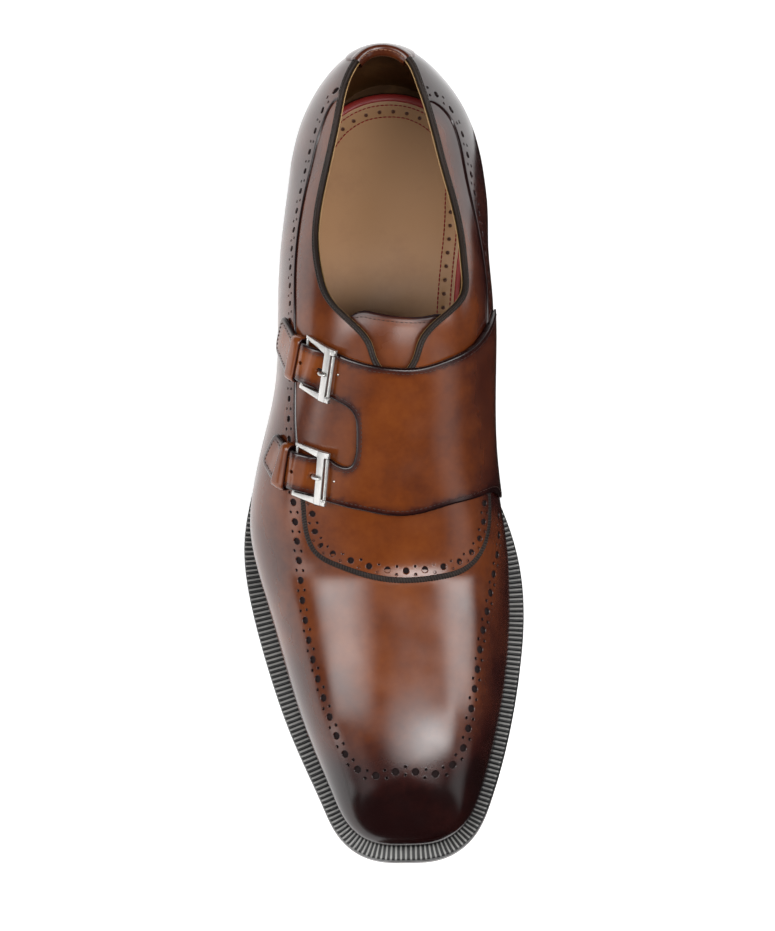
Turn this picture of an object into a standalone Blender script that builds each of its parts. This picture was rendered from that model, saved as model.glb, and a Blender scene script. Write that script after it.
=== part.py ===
"""A man's double monk strap shoe with brogue detail, for the right foot.

Run it with: blender --background --python part.py

Metres, +Z up. The origin is the centre of the heel's tread on the floor, +Y points to the
back of the heel, -Y to the toe, -X to the outer (lateral) side and +X to the inner (medial) side.
The tables are in millimetres. A station is the distance from the sole's back edge towards the toe.
The upper follows one surface, the lasted shape: every column of it rises from the feather line,
where the upper meets the welt, over the widest point to the crown line along the top of the foot.
"""

import bmesh
import bpy
import numpy as np
from mathutils import Matrix, Vector

MM = 0.001

# Driving dimensions, mm
LENGTH = 302.0          # outsole, back edge to toe
TREAD_CENTRE = 38.0     # station of the origin
HEEL_HEIGHT = 25.5      # floor to the sole's underside at the back
HEEL_LENGTH = 77.0      # back edge to the heel breast
TOP_PIECE = 6.0         # thickness of the heel's lowest layer
SOLE = 5.0              # outsole thickness
WELT = 3.2              # welt thickness
WALL = 2.0              # upper and its lining
INSOLE_PROUD = 2.6      # insole above the feather line
STRAP_LEATHER = 1.8     # panel, straps
TONGUE_LEATHER = 2.4
TOE_SPRING = 12.0       # floor to the sole's underside at the toe tip
GAP = 0.3               # between neighbouring pieces

# The sole's underside: the waist falls from the heel to the tread, then lies flat, then springs
SEAT_FALL = 0.015       # seat slope, mm per mm
WAIST_START, TREAD_START, TREAD_END = 62.0, 174.0, 206.0

# Where the outline closes round the heel and the toe, and how square each end is
HEEL_ROUND, TOE_ROUND = 44.0, 22.0
HEEL_SQUARE, TOE_SQUARE = 2.05, 3.0
HEEL_AXIS, TOE_AXIS = -1.1, 2.5

# Columns fan out round two poles on the crown line: station where the fan starts, and the ends
HEEL_FAN = (56.0, 8.0)
TOE_FAN = (262.0, 284.0)

OUTLINE = (
    ("station", "lateral", "medial", "margin_lateral", "margin_medial"),
    (0, 33.0, 31.0, 2.4, 2.4),
    (35, 34.2, 32.0, 2.4, 2.4),
    (65, 34.8, 30.2, 2.6, 2.6),
    (95, 38.0, 27.2, 3.0, 3.0),
    (125, 46.2, 28.0, 4.0, 3.2),
    (150, 53.2, 34.5, 4.8, 4.2),
    (175, 58.3, 43.6, 6.0, 6.0),
    (200, 56.1, 47.6, 8.2, 7.2),
    (225, 49.9, 46.0, 8.4, 6.3),
    (250, 41.8, 41.7, 7.2, 5.8),
    (280, 29.3, 33.3, 6.4, 5.6),
    (302, 21.0, 25.0, 6.6, 6.6),
)

# bulge: how far the widest point stands out past the feather line; round: 2 is an ellipse
BODY = (
    ("station", "bulge_lateral", "bulge_medial", "widest", "crown", "crown_x", "round_lateral", "round_medial"),
    (0, 2.6, 2.6, 48.0, 107.0, -1.0, 3.3, 3.3),
    (8, 3.2, 3.4, 48.0, 106.0, -1.2, 2.5, 2.35),
    (17, 3.8, 4.0, 49.0, 104.0, -1.8, 1.95, 1.8),
    (35, 4.8, 5.0, 50.0, 102.0, -2.4, 1.62, 1.62),
    (57, 6.9, 8.0, 50.0, 101.0, -2.0, 1.75, 1.85),
    (77, 8.1, 9.6, 50.0, 102.0, -0.4, 2.0, 2.4),
    (95, 7.0, 12.2, 50.0, 104.0, 1.2, 2.15, 2.7),
    (110, 4.4, 13.0, 48.0, 104.5, 2.2, 2.15, 2.6),
    (126, 2.2, 12.0, 45.0, 99.5, 2.2, 2.05, 2.3),
    (145, 2.6, 8.4, 39.0, 89.0, 1.5, 2.0, 2.1),
    (170, 2.8, 3.6, 30.0, 75.5, 0.5, 2.0, 2.05),
    (186, 2.6, 2.6, 25.0, 66.3, -0.2, 2.05, 2.05),
    (197, 2.5, 2.15, 21.8, 60.9, -0.5, 2.1, 2.1),
    (207, 2.3, 1.95, 20.7, 58.8, -0.5, 2.18, 2.18),
    (220, 2.1, 1.7, 20.0, 56.4, -0.5, 2.25, 2.25),
    (245, 1.8, 1.6, 20.5, 52.0, 0.5, 2.45, 2.45),
    (264, 1.8, 1.6, 22.5, 47.8, 1.4, 2.5, 2.5),
    (276, 1.8, 1.7, 24.0, 43.6, 2.0, 2.15, 2.15),
    (288, 1.8, 1.8, 25.5, 37.4, 2.5, 1.7, 1.7),
    (302, 1.9, 1.9, 26.5, 29.5, 3.0, 1.25, 1.25),
)

# How far up each column the upper goes, as a share of its way from feather line to crown
TOPLINE = (
    ("station", "lateral", "medial"),
    (0, 0.645, 0.645),
    (3, 0.695, 0.668),
    (8, 0.738, 0.705),
    (21, 0.766, 0.717),
    (41, 0.737, 0.692),
    (65, 0.678, 0.661),
    (79, 0.678, 0.665),
    (93, 0.713, 0.690),
    (102, 0.751, 0.716),
    (109, 0.808, 0.788),
    (115, 0.866, 0.860),
    (121, 0.911, 0.907),
    (128, 0.936, 0.932),
    (136, 1.0, 1.0),
)

# The strap panel by girth, measured along the surface from the crown: minus is lateral.
# back and front are its edges, and split_back and split_front the sides of the gap between the straps.
PANEL = (
    ("girth", "back", "split_back", "split_front", "front"),
    (64.0, 103.0, 126.0, 150.0, 163.5),
    (60.0, 101.6, 127.5, 152.0, 165.6),
    (48.0, 107.3, 131.0, 155.0, 166.2),
    (34.0, 118.8, 136.5, 158.0, 170.6),
    (21.0, 125.6, 140.5, 159.0, 175.0),
    (8.0, 130.0, 145.0, 158.0, 179.4),
    (-4.0, 129.8, 148.0, 157.0, 179.6),
    (-14.0, 127.0, 148.0, 156.5, 177.3),
    (-15.0, 126.6, 144.6, 161.3, 177.1),
    (-16.8, 125.9, 142.6, 162.6, 176.6),
    (-18.9, 124.9, 141.1, 162.3, 175.9),
    (-21.5, 123.4, 139.8, 161.0, 175.0),
)
SPLIT_GIRTH = -14.0     # the gap opens here
PANEL_LIFT = 0.5        # underside of the panel above the upper

# The two straps beyond the panel: centre line, half width and how far the underside stands off
# the upper. Each strap passes under its buckle's front bar and over the bar at the far side.
STRAP_BACK = (
    ("girth", "station", "half", "lift"),
    (-24.0, 130.4, 8.6, 0.50),
    (-26.6, 129.1, 8.0, 0.45),
    (-28.2, 128.2, 7.6, 0.90),
    (-30.8, 126.8, 7.3, 2.80),
    (-33.0, 125.6, 7.2, 3.10),
    (-34.6, 124.8, 7.2, 3.35),
    (-36.6, 123.8, 7.2, 3.35),
    (-38.4, 122.9, 7.2, 2.30),
    (-40.3, 122.0, 7.2, 1.90),
    (-43.0, 120.7, 7.3, 1.80),
    (-46.0, 118.7, 7.4, 1.10),
    (-50.0, 115.1, 7.6, 0.45),
    (-55.3, 110.0, 7.6, 0.45),
    (-57.0, 108.4, 6.2, 0.45),
)
STRAP_FRONT = (
    ("girth", "station", "half", "lift"),
    (-24.0, 166.6, 8.4, 0.50),
    (-28.4, 164.7, 7.8, 0.45),
    (-30.0, 164.1, 7.5, 0.90),
    (-32.6, 163.1, 7.2, 2.65),
    (-34.8, 162.2, 7.2, 2.95),
    (-36.4, 161.6, 7.2, 3.45),
    (-38.4, 160.8, 7.2, 3.45),
    (-40.2, 160.2, 7.3, 2.50),
    (-42.2, 159.3, 7.4, 1.90),
    (-45.8, 157.4, 7.5, 1.80),
    (-48.2, 155.8, 7.6, 1.10),
    (-50.6, 154.0, 7.6, 0.45),
    (-54.4, 150.9, 7.6, 0.45),
    (-56.0, 149.5, 6.2, 0.45),
)

# Tongue: a leaf under the panel, inside the quarters
TONGUE_LEAF = (
    ("station", "lateral", "medial"),
    (109.5, -20.0, 25.0),
    (114.0, -24.0, 28.0),
    (125.0, -25.0, 28.0),
    (145.0, -24.0, 26.0),
    (168.0, -20.0, 21.0),
)

# Buckles: the middle of the front bar, how far the frame turns towards the heel and dives to its
# far bar, in degrees, how far the far bar is shifted towards the heel, and the keeper's place
BUCKLES = (
    ("name", "strap", "station", "girth", "turn", "dive", "shift", "keeper"),
    ("back", STRAP_BACK, 129.9, -25.3, 22.0, 16.0, 1.6, -40.4),
    ("front", STRAP_FRONT, 164.9, -27.0, 16.5, 16.0, 0.8, -43.2),
)
FRAME_SPAN = 20.4       # over both arms
FRAME_LENGTH = 11.6     # front bar to far bar, middle to middle
FRAME_THICK = 1.7
FRAME_LIFT = 3.85       # front bar's middle above the upper
FRONT_BAR = 2.8         # width
ARM = 2.1               # width beside the front bar
ARM_END = 1.4           # width at the far bar
ROLLER = 0.65           # radius of the rod in front of the front bar
ROLLER_REACH = 3.0      # front bar's middle to the rod
FAR_BAR = 0.6           # radius of the bar under the strap
PRONG = 0.6             # radius of the prong
PRONG_EYE = 1.15        # outer radius of the prong's ring round the far bar
PRONG_HOLE = (4.8, 2.6) # the hole in the strap, along and across
PRONG_HOLE_AT = 4.2     # its middle from the front bar's
KEEPER_WIDTH = 5.0
KEEPER_LEATHER = 1.2

# Mesh fineness
SOLE_COLUMNS = 44       # columns a side
LAST_ROWS = 61
UPPER_ROWS = 15
HEEL_LEVELS = 5
STRAP_LEVELS = 4

BREAST_HOLLOW = 3.0     # the heel breast curves in by this much


# Curves and tables

def column(table, name):
    place = table[0].index(name)
    return np.array([row[place] for row in table[1:]], float)


def natural_spline(x, y, at):
    """The natural cubic spline through (x, y), x rising, read at the given places."""
    count = len(x)
    step = np.diff(x)
    matrix = np.eye(count)
    right = np.zeros(count)
    for i in range(1, count - 1):
        matrix[i, i - 1:i + 2] = step[i - 1], 2 * (step[i - 1] + step[i]), step[i]
        right[i] = 6 * ((y[i + 1] - y[i]) / step[i] - (y[i] - y[i - 1]) / step[i - 1])
    bend = np.linalg.solve(matrix, right)
    at = np.clip(np.asarray(at, float), x[0], x[-1])
    k = np.clip(np.searchsorted(x, at) - 1, 0, count - 2)
    low, high, width = at - x[k], x[k + 1] - at, step[k]
    curved = (bend[k] * high**3 + bend[k + 1] * low**3) / (6 * width)
    return (curved + (y[k] / width - bend[k] * width / 6) * high
            + (y[k + 1] / width - bend[k + 1] * width / 6) * low)


def read(table, name, at):
    """A table's named column at any value of its first column."""
    x, y = column(table, table[0][0]), column(table, name)
    order = np.argsort(x)
    return natural_spline(x[order], y[order], at)


def section_curve(points, end_slope, count):
    """A smooth curve through four section points that ends on the crown along its slope."""
    chord = np.r_[0, np.cumsum(np.linalg.norm(np.diff(points, axis=0), axis=1))]
    step = np.diff(chord)
    end = np.array([-1.0, -end_slope]) / np.hypot(1.0, end_slope)
    matrix = np.eye(4)
    right = np.zeros((4, 2))
    for i in (1, 2):
        matrix[i, i - 1:i + 2] = step[i - 1], 2 * (step[i - 1] + step[i]), step[i]
        right[i] = 6 * ((points[i + 1] - points[i]) / step[i] - (points[i] - points[i - 1]) / step[i - 1])
    matrix[3, 2:] = step[2], 2 * step[2]
    right[3] = 6 * (end - (points[3] - points[2]) / step[2])
    bend = np.linalg.solve(matrix, right)
    at = np.linspace(0, chord[-1], 6 * count)
    k = np.clip(np.searchsorted(chord, at, side="right") - 1, 0, 2)
    low, high, width = (at - chord[k])[:, None], (chord[k + 1] - at)[:, None], step[k][:, None]
    curve = ((bend[k] * high**3 + bend[k + 1] * low**3) / (6 * width)
             + (points[k] / width - bend[k] * width / 6) * high
             + (points[k + 1] / width - bend[k + 1] * width / 6) * low)
    arc = np.r_[0, np.cumsum(np.linalg.norm(np.diff(curve, axis=0), axis=1))]
    even = np.linspace(0, arc[-1], count)
    return np.stack([np.interp(even, arc, curve[:, 0]), np.interp(even, arc, curve[:, 1])], 1)


# The sole's outline and heights

def sole_edge(station, side):
    """x of the sole's edge: side -1 is lateral, 1 is medial."""
    heel = np.clip((HEEL_ROUND - station) / HEEL_ROUND, 0, 1)
    toe = np.clip((station - LENGTH + TOE_ROUND) / TOE_ROUND, 0, 1)
    close = (1 - heel**HEEL_SQUARE)**(1 / HEEL_SQUARE) * (1 - toe**TOE_SQUARE)**(1 / TOE_SQUARE)
    axis = HEEL_AXIS + (TOE_AXIS - HEEL_AXIS) * station / LENGTH
    breadth = read(OUTLINE, "lateral" if side < 0 else "medial", station)
    return axis + (side * breadth - axis) * close


def underside(station):
    station = np.asarray(station, float)
    along = np.clip((station - WAIST_START) / (TREAD_START - WAIST_START), 0, 1)
    waist = 1 - along * along * (3 - 2 * along)
    spring = np.clip((station - TREAD_END) / (LENGTH - TREAD_END), 0, 1)
    return (HEEL_HEIGHT - SEAT_FALL * station) * waist + TOE_SPRING * spring**2


def feather_height(station):
    return underside(station) + SOLE + WELT + 2 * GAP


def stations(count):
    """Stations from heel to toe, closer together at both ends, where the outline turns."""
    turn = np.linspace(0, np.pi, count + 1)
    eased = (1 - np.cos(turn)) / 2
    share = 0.75 + 0.25 * np.abs(np.cos(turn))
    return LENGTH * (eased * share + np.linspace(0, 1, count + 1) * (1 - share))


def loop_of(along):
    """The closed outline: heel back, lateral side, toe tip, medial side. Also each point's side."""
    lateral = np.stack([sole_edge(along, -1), along], 1)
    medial = np.stack([sole_edge(along, 1), along], 1)[-2:0:-1]
    side = np.r_[0.5, np.zeros(len(along) - 2), 0.5, np.ones(len(medial))]
    return np.vstack([lateral, medial]), side


def inwards(loop):
    """The loop's unit normals in plan, pointing into the shoe."""
    run = np.roll(loop, -1, 0) - np.roll(loop, 1, 0)
    run /= np.linalg.norm(run, axis=1)[:, None]
    return np.stack([run[:, 1], -run[:, 0]], 1)


def by_side(table, name, station, side):
    return (read(table, name + "_lateral", station) * (1 - side)
            + read(table, name + "_medial", station) * side)


def crown_station(station):
    """The station on the crown line that the column from this outline station runs up to."""
    reached = np.array(station, float)
    for start, end in (HEEL_FAN, TOE_FAN):
        sign = np.sign(end - start)
        past = np.clip(sign * (station - start), 0, abs(end - start))
        reached = np.where(sign * (station - start) > 0, start + sign * (past - past**2 / (2 * abs(end - start))),
                           reached)
    return reached


def shoe_to_world(points):
    """(x, station, z) in mm to world metres."""
    points = np.asarray(points, float)
    return np.stack([points[..., 0], TREAD_CENTRE - points[..., 1], points[..., 2]], -1) * MM


class Last:
    """The upper's outer surface: columns round the outline, each a row of points up to the crown."""

    def __init__(self, sides, rows):
        self.along = stations(sides)
        edge, self.side = loop_of(self.along)
        station = edge[:, 1]
        margin = by_side(OUTLINE, "margin", station, self.side)
        self.feather = edge + inwards(edge) * margin[:, None]
        crown_at = crown_station(station)
        crown = np.stack([read(BODY, "crown_x", crown_at), crown_at], 1)
        crown_z = read(BODY, "crown", crown_at)
        crown_slope = (read(BODY, "crown", crown_at + 0.5) - read(BODY, "crown", crown_at - 0.5))
        out = self.feather - crown
        reach = np.linalg.norm(out, axis=1)
        out /= reach[:, None]
        widest = reach + by_side(BODY, "bulge", station, self.side)
        widest_z = read(BODY, "widest", station)
        corner = 2 ** (-1 / by_side(BODY, "round", station, self.side))
        foot_z = feather_height(station)
        self.grid = np.zeros((len(edge), rows, 3))
        for i in range(len(edge)):
            rise = crown_z[i] - widest_z[i]
            points = np.array([(reach[i], foot_z[i]), (widest[i], widest_z[i]),
                               (widest[i] * corner[i], widest_z[i] + rise * corner[i]), (0, crown_z[i])])
            curve = section_curve(points, crown_slope[i] * out[i, 1], rows)
            self.grid[i, :, :2] = crown[i] + out[i] * curve[:, :1]
            self.grid[i, :, 2] = curve[:, 1]
        self.normal = self.normals()
        arc = np.cumsum(np.linalg.norm(np.diff(self.grid[:, ::-1], axis=1), axis=2), axis=1)
        self.girth = np.concatenate([np.zeros((len(edge), 1)), arc], 1)[:, ::-1]

    def partner(self):
        """For each column, the one at the same station on the other side."""
        count = len(self.grid)
        return (-np.arange(count)) % count

    def normals(self):
        round_it = np.roll(self.grid, -1, 0) - np.roll(self.grid, 1, 0)
        up = np.gradient(self.grid, axis=1)
        normal = np.cross(up, round_it)
        size = np.linalg.norm(normal, axis=2, keepdims=True)
        normal /= np.maximum(size, 1e-9)
        crown = normal[:, -2] + normal[self.partner(), -2]
        normal[:, -1] = crown / np.linalg.norm(crown, axis=1)[:, None]
        return normal

    def at(self, station, girth, lift=0.0):
        """The point this far from the crown along the section, lifted off the surface."""
        half = len(self.along) - 1
        place = np.interp(station, self.along, np.arange(half + 1))
        first = min(int(place), half - 1)
        blend = place - first
        found = np.zeros(3)
        for k, weight in ((first, 1 - blend), (first + 1, blend)):
            i = k if girth <= 0 else (-k) % len(self.grid)
            reach = self.girth[i][::-1]
            point = [np.interp(abs(girth), reach, self.grid[i, ::-1, axis]) for axis in range(3)]
            normal = [np.interp(abs(girth), reach, self.normal[i, ::-1, axis]) for axis in range(3)]
            found += weight * (np.array(point) + lift * np.array(normal) / np.linalg.norm(normal))
        return found


# Blender helpers

def clear_scene():
    for item in list(bpy.data.objects):
        bpy.data.objects.remove(item, do_unlink=True)


def make_collection(name):
    made = bpy.data.collections.new(name)
    bpy.context.scene.collection.children.link(made)
    return made


def make_material(name, colour, roughness, metallic=0.0):
    made = bpy.data.materials.new(name)
    made.use_nodes = True
    shader = made.node_tree.nodes["Principled BSDF"]
    shader.inputs["Base Color"].default_value = (*colour, 1.0)
    shader.inputs["Roughness"].default_value = roughness
    shader.inputs["Metallic"].default_value = metallic
    return made


def add_object(name, mesh, material, collection):
    mesh.materials.clear()
    mesh.materials.append(material)
    mesh.shade_smooth()
    mesh.set_sharp_from_angle(angle=np.radians(35))
    made = bpy.data.objects.new(name, mesh)
    collection.objects.link(made)
    return made


def mesh_from(name, points, faces, weld=1e-6):
    """A closed mesh from world points, with coincident points welded and normals facing out."""
    mesh = bpy.data.meshes.new(name)
    mesh.from_pydata([tuple(p) for p in points], [], faces)
    work = bmesh.new()
    work.from_mesh(mesh)
    bmesh.ops.remove_doubles(work, verts=work.verts, dist=weld)
    bmesh.ops.dissolve_degenerate(work, edges=work.edges, dist=weld)
    bmesh.ops.recalc_face_normals(work, faces=work.faces)
    work.to_mesh(mesh)
    work.free()
    return mesh


def slab(name, low, high, keep=None, closed=False):
    """A solid between two grids of points. keep marks the cells that exist; closed joins the last row
    to the first."""
    rows, levels = low.shape[:2]
    count = rows * levels
    cells = rows if closed else rows - 1
    keep = np.ones((cells, levels - 1), bool) if keep is None else keep
    faces = []

    def corner(i, j, top):
        return (i % rows) * levels + j + (count if top else 0)

    def kept(i, j):
        if closed:
            i %= rows
        return 0 <= i < cells and 0 <= j < levels - 1 and keep[i, j]

    for i in range(cells):
        for j in range(levels - 1):
            if not kept(i, j):
                continue
            ring = ((i, j), (i + 1, j), (i + 1, j + 1), (i, j + 1))
            faces.append([corner(*c, True) for c in ring])
            faces.append([corner(*c, False) for c in reversed(ring)])
            beyond = ((i, j - 1), (i + 1, j), (i, j + 1), (i - 1, j))
            for side, cell in enumerate(beyond):
                if not kept(*cell):
                    a, b = ring[side], ring[(side + 1) % 4]
                    faces.append([corner(*b, True), corner(*a, True), corner(*a, False), corner(*b, False)])
    points = np.vstack([low.reshape(-1, 3), high.reshape(-1, 3)])
    return mesh_from(name, points, faces)


def cut(target, cutter):
    """Takes the cutter's shape out of the target."""
    change = target.modifiers.new("cut_" + cutter.name, "BOOLEAN")
    change.operation = "DIFFERENCE"
    change.object = cutter
    cutter.hide_render = True
    cutter.display_type = "WIRE"


def join(target, other):
    """Makes the other object's shape part of the target."""
    change = target.modifiers.new("join_" + other.name, "BOOLEAN")
    change.operation = "UNION"
    change.object = other
    other.hide_render = True
    other.display_type = "WIRE"


# Sole and heel

def plate(name, loop, low, high):
    """A solid with this plan outline between two height functions of the station."""
    half = len(loop) // 2
    lateral = loop[:half + 1]
    medial = np.vstack([loop[:1], loop[:half - 1:-1]])
    rows = []
    for height in (low, high):
        sides = [np.column_stack([line, height(line[:, 1])]) for line in (lateral, medial)]
        rows.append(shoe_to_world(np.stack(sides, 1)))
    return slab(name, rows[0], rows[1])


def make_outsole(parts, material):
    loop, _ = loop_of(stations(SOLE_COLUMNS))
    mesh = plate("outsole", loop, underside, lambda s: underside(s) + SOLE)
    return add_object("outsole", mesh, material, parts)


def make_welt(parts, material):
    """A flat strip round the outsole, from its edge to under the upper's wall."""
    loop, side = loop_of(stations(SOLE_COLUMNS))
    margin = by_side(OUTLINE, "margin", loop[:, 1], side)
    inner = loop + inwards(loop) * (margin + WALL)[:, None]
    rings = np.stack([loop, inner], 1)
    low = np.concatenate([rings, (underside(rings[..., 1]) + SOLE + GAP)[..., None]], 2)
    high = low + [0, 0, WELT]
    mesh = slab("welt", shoe_to_world(low), shoe_to_world(high), closed=True)
    return add_object("welt", mesh, material, parts)


def make_insole(parts, material):
    """The insole board with its filling, inside the welt and the upper's wall."""
    loop, side = loop_of(stations(SOLE_COLUMNS))
    margin = by_side(OUTLINE, "margin", loop[:, 1], side)
    inner = loop + inwards(loop) * (margin + WALL + GAP)[:, None]
    mesh = plate("insole", inner, lambda s: underside(s) + SOLE + GAP,
                 lambda s: feather_height(s) + INSOLE_PROUD)
    return add_object("insole", mesh, material, parts)


def heel_plan(taper):
    """The heel's plan outline, drawn in by the taper, with a breast that is hollow across."""
    along = stations(SOLE_COLUMNS)
    along = np.r_[along[along < HEEL_LENGTH - 2.0], HEEL_LENGTH]
    lateral = np.stack([sole_edge(along, -1) + taper, along], 1)
    medial = np.stack([sole_edge(along, 1) - taper, along], 1)
    lateral[:, 1] += taper * (1 - along / HEEL_LENGTH)
    medial[:, 1] += taper * (1 - along / HEEL_LENGTH)
    return lateral, medial


def make_heel(name, low, high, taper_low, taper_high, parts, material):
    """A heel layer between two heights: low and high take the station."""
    rows = []
    for height, taper in ((low, taper_low), (high, taper_high)):
        lateral, medial = heel_plan(taper)
        share = np.linspace(0, 1, HEEL_LEVELS)[None, :, None]
        plan = lateral[:, None] * (1 - share) + medial[:, None] * share
        hollow = BREAST_HOLLOW * np.clip((plan[..., 1] - HEEL_LENGTH / 2) / (HEEL_LENGTH / 2), 0, 1)
        plan[..., 1] -= hollow * 4 * share[..., 0] * (1 - share[..., 0])
        rows.append(shoe_to_world(np.concatenate([plan, height(plan[..., 1])[..., None]], 2)))
    return add_object(name, slab(name, *rows), material, parts)


# Upper, tongue and panel

def make_upper(last, parts, material):
    """One hollow shell: the outer surface and the same surface drawn in by the wall."""
    count, rows = last.grid.shape[:2]
    station = np.r_[last.along, last.along[-2:0:-1]]
    top = np.clip(read(TOPLINE, "lateral", station) * (1 - last.side)
                  + read(TOPLINE, "medial", station) * last.side, 0, 1)
    top = np.where(station >= TOPLINE[-1][0], 1.0, top)
    outer = np.zeros((count, UPPER_ROWS, 3))
    inner = np.zeros((count, UPPER_ROWS, 3))
    for i in range(count):
        share = np.linspace(0, top[i], UPPER_ROWS) * (rows - 1)
        for axis in range(3):
            outer[i, :, axis] = np.interp(share, np.arange(rows), last.grid[i, :, axis])
            inner[i, :, axis] = np.interp(share, np.arange(rows), last.normal[i, :, axis])
    inner = outer - WALL * inner / np.linalg.norm(inner, axis=2, keepdims=True)
    inner[:, 0, 2] = outer[:, 0, 2]
    crown = top == 1.0
    partner = last.partner()
    inner[crown, -1] = (inner[crown, -1] + inner[partner[crown], -1]) / 2
    return shell_mesh(outer, inner, crown, material, parts)


def shell_mesh(outer, inner, crown, material, parts):
    """Joins the two skins along the feather line and the topline; the crown is a seam of both sides."""
    count, rows = outer.shape[:2]
    size = count * rows
    faces = []
    for i in range(count):
        k = (i + 1) % count
        for j in range(rows - 1):
            a, b, c, d = i * rows + j, k * rows + j, k * rows + j + 1, i * rows + j + 1
            faces.append([a, b, c, d])
            faces.append([size + d, size + c, size + b, size + a])
        faces.append([k * rows, i * rows, size + i * rows, size + k * rows])
        if not (crown[i] and crown[k]):
            a, b = i * rows + rows - 1, k * rows + rows - 1
            faces.append([a, b, size + b, size + a])
    points = shoe_to_world(np.vstack([outer.reshape(-1, 3), inner.reshape(-1, 3)]))
    return add_object("upper", mesh_from("upper", points, faces, weld=2e-5), material, parts)


def make_tongue(last, parts, material):
    along = np.linspace(TONGUE_LEAF[1][0], TONGUE_LEAF[-1][0], 12)
    share = np.linspace(0, 1, 10)
    top = -(WALL + 3 * GAP)
    grids = []
    for lift in (top - TONGUE_LEATHER, top):
        grid = [[last.at(s, a * (1 - t) + b * t, lift) for t in share]
                for s, a, b in zip(along, read(TONGUE_LEAF, "lateral", along),
                                   read(TONGUE_LEAF, "medial", along))]
        grids.append(shoe_to_world(grid))
    return add_object("tongue", slab("tongue", *grids), material, parts)


def strap_place(last, table, girth, aside):
    """The (station, girth) this many real millimetres across a strap's centre line, + to the toe."""
    centre = float(read(table, "station", girth))
    advance = float(read(table, "station", girth - 0.5) - read(table, "station", girth + 0.5))
    here = last.at(centre, girth)
    by_station = last.at(centre + 1, girth) - here
    by_girth = last.at(centre, girth + 1) - here
    run = by_station * advance - by_girth
    step = np.array([-(by_girth @ run), by_station @ run])
    step /= np.linalg.norm(by_station * step[0] + by_girth * step[1])
    return np.array([centre, girth]) + aside * step


def strap_rows(last, table):
    """Rows of (station, girth, lift) across a strap, from the panel to its tip."""
    knots = column(table, "girth")
    girths = np.sort(np.r_[knots, (knots[1:] + knots[:-1]) / 2])[::-1]
    half = np.interp(-girths, -knots, column(table, "half"))
    lift = np.interp(-girths, -knots, column(table, "lift"))
    rows = np.zeros((len(girths), STRAP_LEVELS, 3))
    for i, girth in enumerate(girths):
        for level, share in enumerate(np.linspace(-1, 1, STRAP_LEVELS)):
            rows[i, level, :2] = strap_place(last, table, girth, share * half[i])
        rows[i, :, 2] = lift[i]
    return rows


def make_strap_panel(last, parts, material):
    """The wide panel over the instep and the two straps that it ends in, in one piece."""
    knots = column(PANEL, "girth")
    girths = np.r_[np.linspace(knots[0], 0, 11), -7.0, knots[knots <= SPLIT_GIRTH]]
    wide = np.zeros((len(girths), 2 * STRAP_LEVELS + 1, 3))
    for i, girth in enumerate(girths):
        back, split_back, split_front, front = (
            read(PANEL, name, girth) for name in ("back", "split_back", "split_front", "front"))
        wide[i, :STRAP_LEVELS, 0] = np.linspace(back, split_back, STRAP_LEVELS)
        wide[i, STRAP_LEVELS, 0] = (split_back + split_front) / 2
        wide[i, STRAP_LEVELS + 1:, 0] = np.linspace(split_front, front, STRAP_LEVELS)
        wide[i, :, 1:] = girth, PANEL_LIFT
    back_strap, front_strap = strap_rows(last, STRAP_BACK), strap_rows(last, STRAP_FRONT)
    between = (back_strap[:, -1:] + front_strap[:, :1]) / 2
    places = np.vstack([wide, np.concatenate([back_strap, between, front_strap], 1)])
    keep = np.ones((len(places) - 1, 2 * STRAP_LEVELS), bool)
    first = int(np.argmax(girths <= SPLIT_GIRTH))
    keep[first:, STRAP_LEVELS - 1:STRAP_LEVELS + 1] = False
    grids = [shoe_to_world([[last.at(s, g, lift + extra) for s, g, lift in row] for row in places])
             for extra in (0.0, STRAP_LEATHER)]
    return add_object("strap_panel", slab("strap_panel", *grids, keep=keep), material, parts)


# Buckles and keepers

def buckle_matrix(last, station, girth, turn, dive):
    """The buckle's own frame at its front bar: X to the far bar, Y to the toe, Z out of the upper."""
    place = Vector(shoe_to_world(last.at(station, girth, FRAME_LIFT)))
    normal = (place - Vector(shoe_to_world(last.at(station, girth)))).normalized()
    run = Vector(shoe_to_world(last.at(station, girth - 1.0, FRAME_LIFT))) - place
    run = (run - normal * run.dot(normal)).normalized()
    flat = Matrix((run, normal.cross(run), normal)).transposed().to_4x4()
    flat.translation = place
    return flat @ Matrix.Rotation(-np.radians(turn), 4, "Z") @ Matrix.Rotation(np.radians(dive), 4, "Y")


def box(name, size, place, collection, bevel=0.0):
    """A box of this size (mm) centred here (mm), with its edges rounded."""
    mesh = bpy.data.meshes.new(name)
    work = bmesh.new()
    bmesh.ops.create_cube(work, size=1.0)
    bmesh.ops.scale(work, vec=Vector(size) * MM, verts=work.verts)
    if bevel:
        bmesh.ops.bevel(work, geom=work.edges[:], offset=bevel * MM, segments=1, affect="EDGES", profile=0.5)
    bmesh.ops.translate(work, vec=Vector(place) * MM, verts=work.verts)
    work.to_mesh(mesh)
    work.free()
    made = bpy.data.objects.new(name, mesh)
    collection.objects.link(made)
    return made


def rod(name, radius, length, place, collection, sides=12):
    """A round bar along Y, mm."""
    mesh = bpy.data.meshes.new(name)
    work = bmesh.new()
    bmesh.ops.create_cone(work, cap_ends=True, segments=sides, radius1=radius * MM, radius2=radius * MM,
                          depth=length * MM, matrix=Matrix.Rotation(np.pi / 2, 4, "X"))
    bmesh.ops.translate(work, vec=Vector(place) * MM, verts=work.verts)
    work.to_mesh(mesh)
    work.free()
    made = bpy.data.objects.new(name, mesh)
    collection.objects.link(made)
    return made


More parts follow.
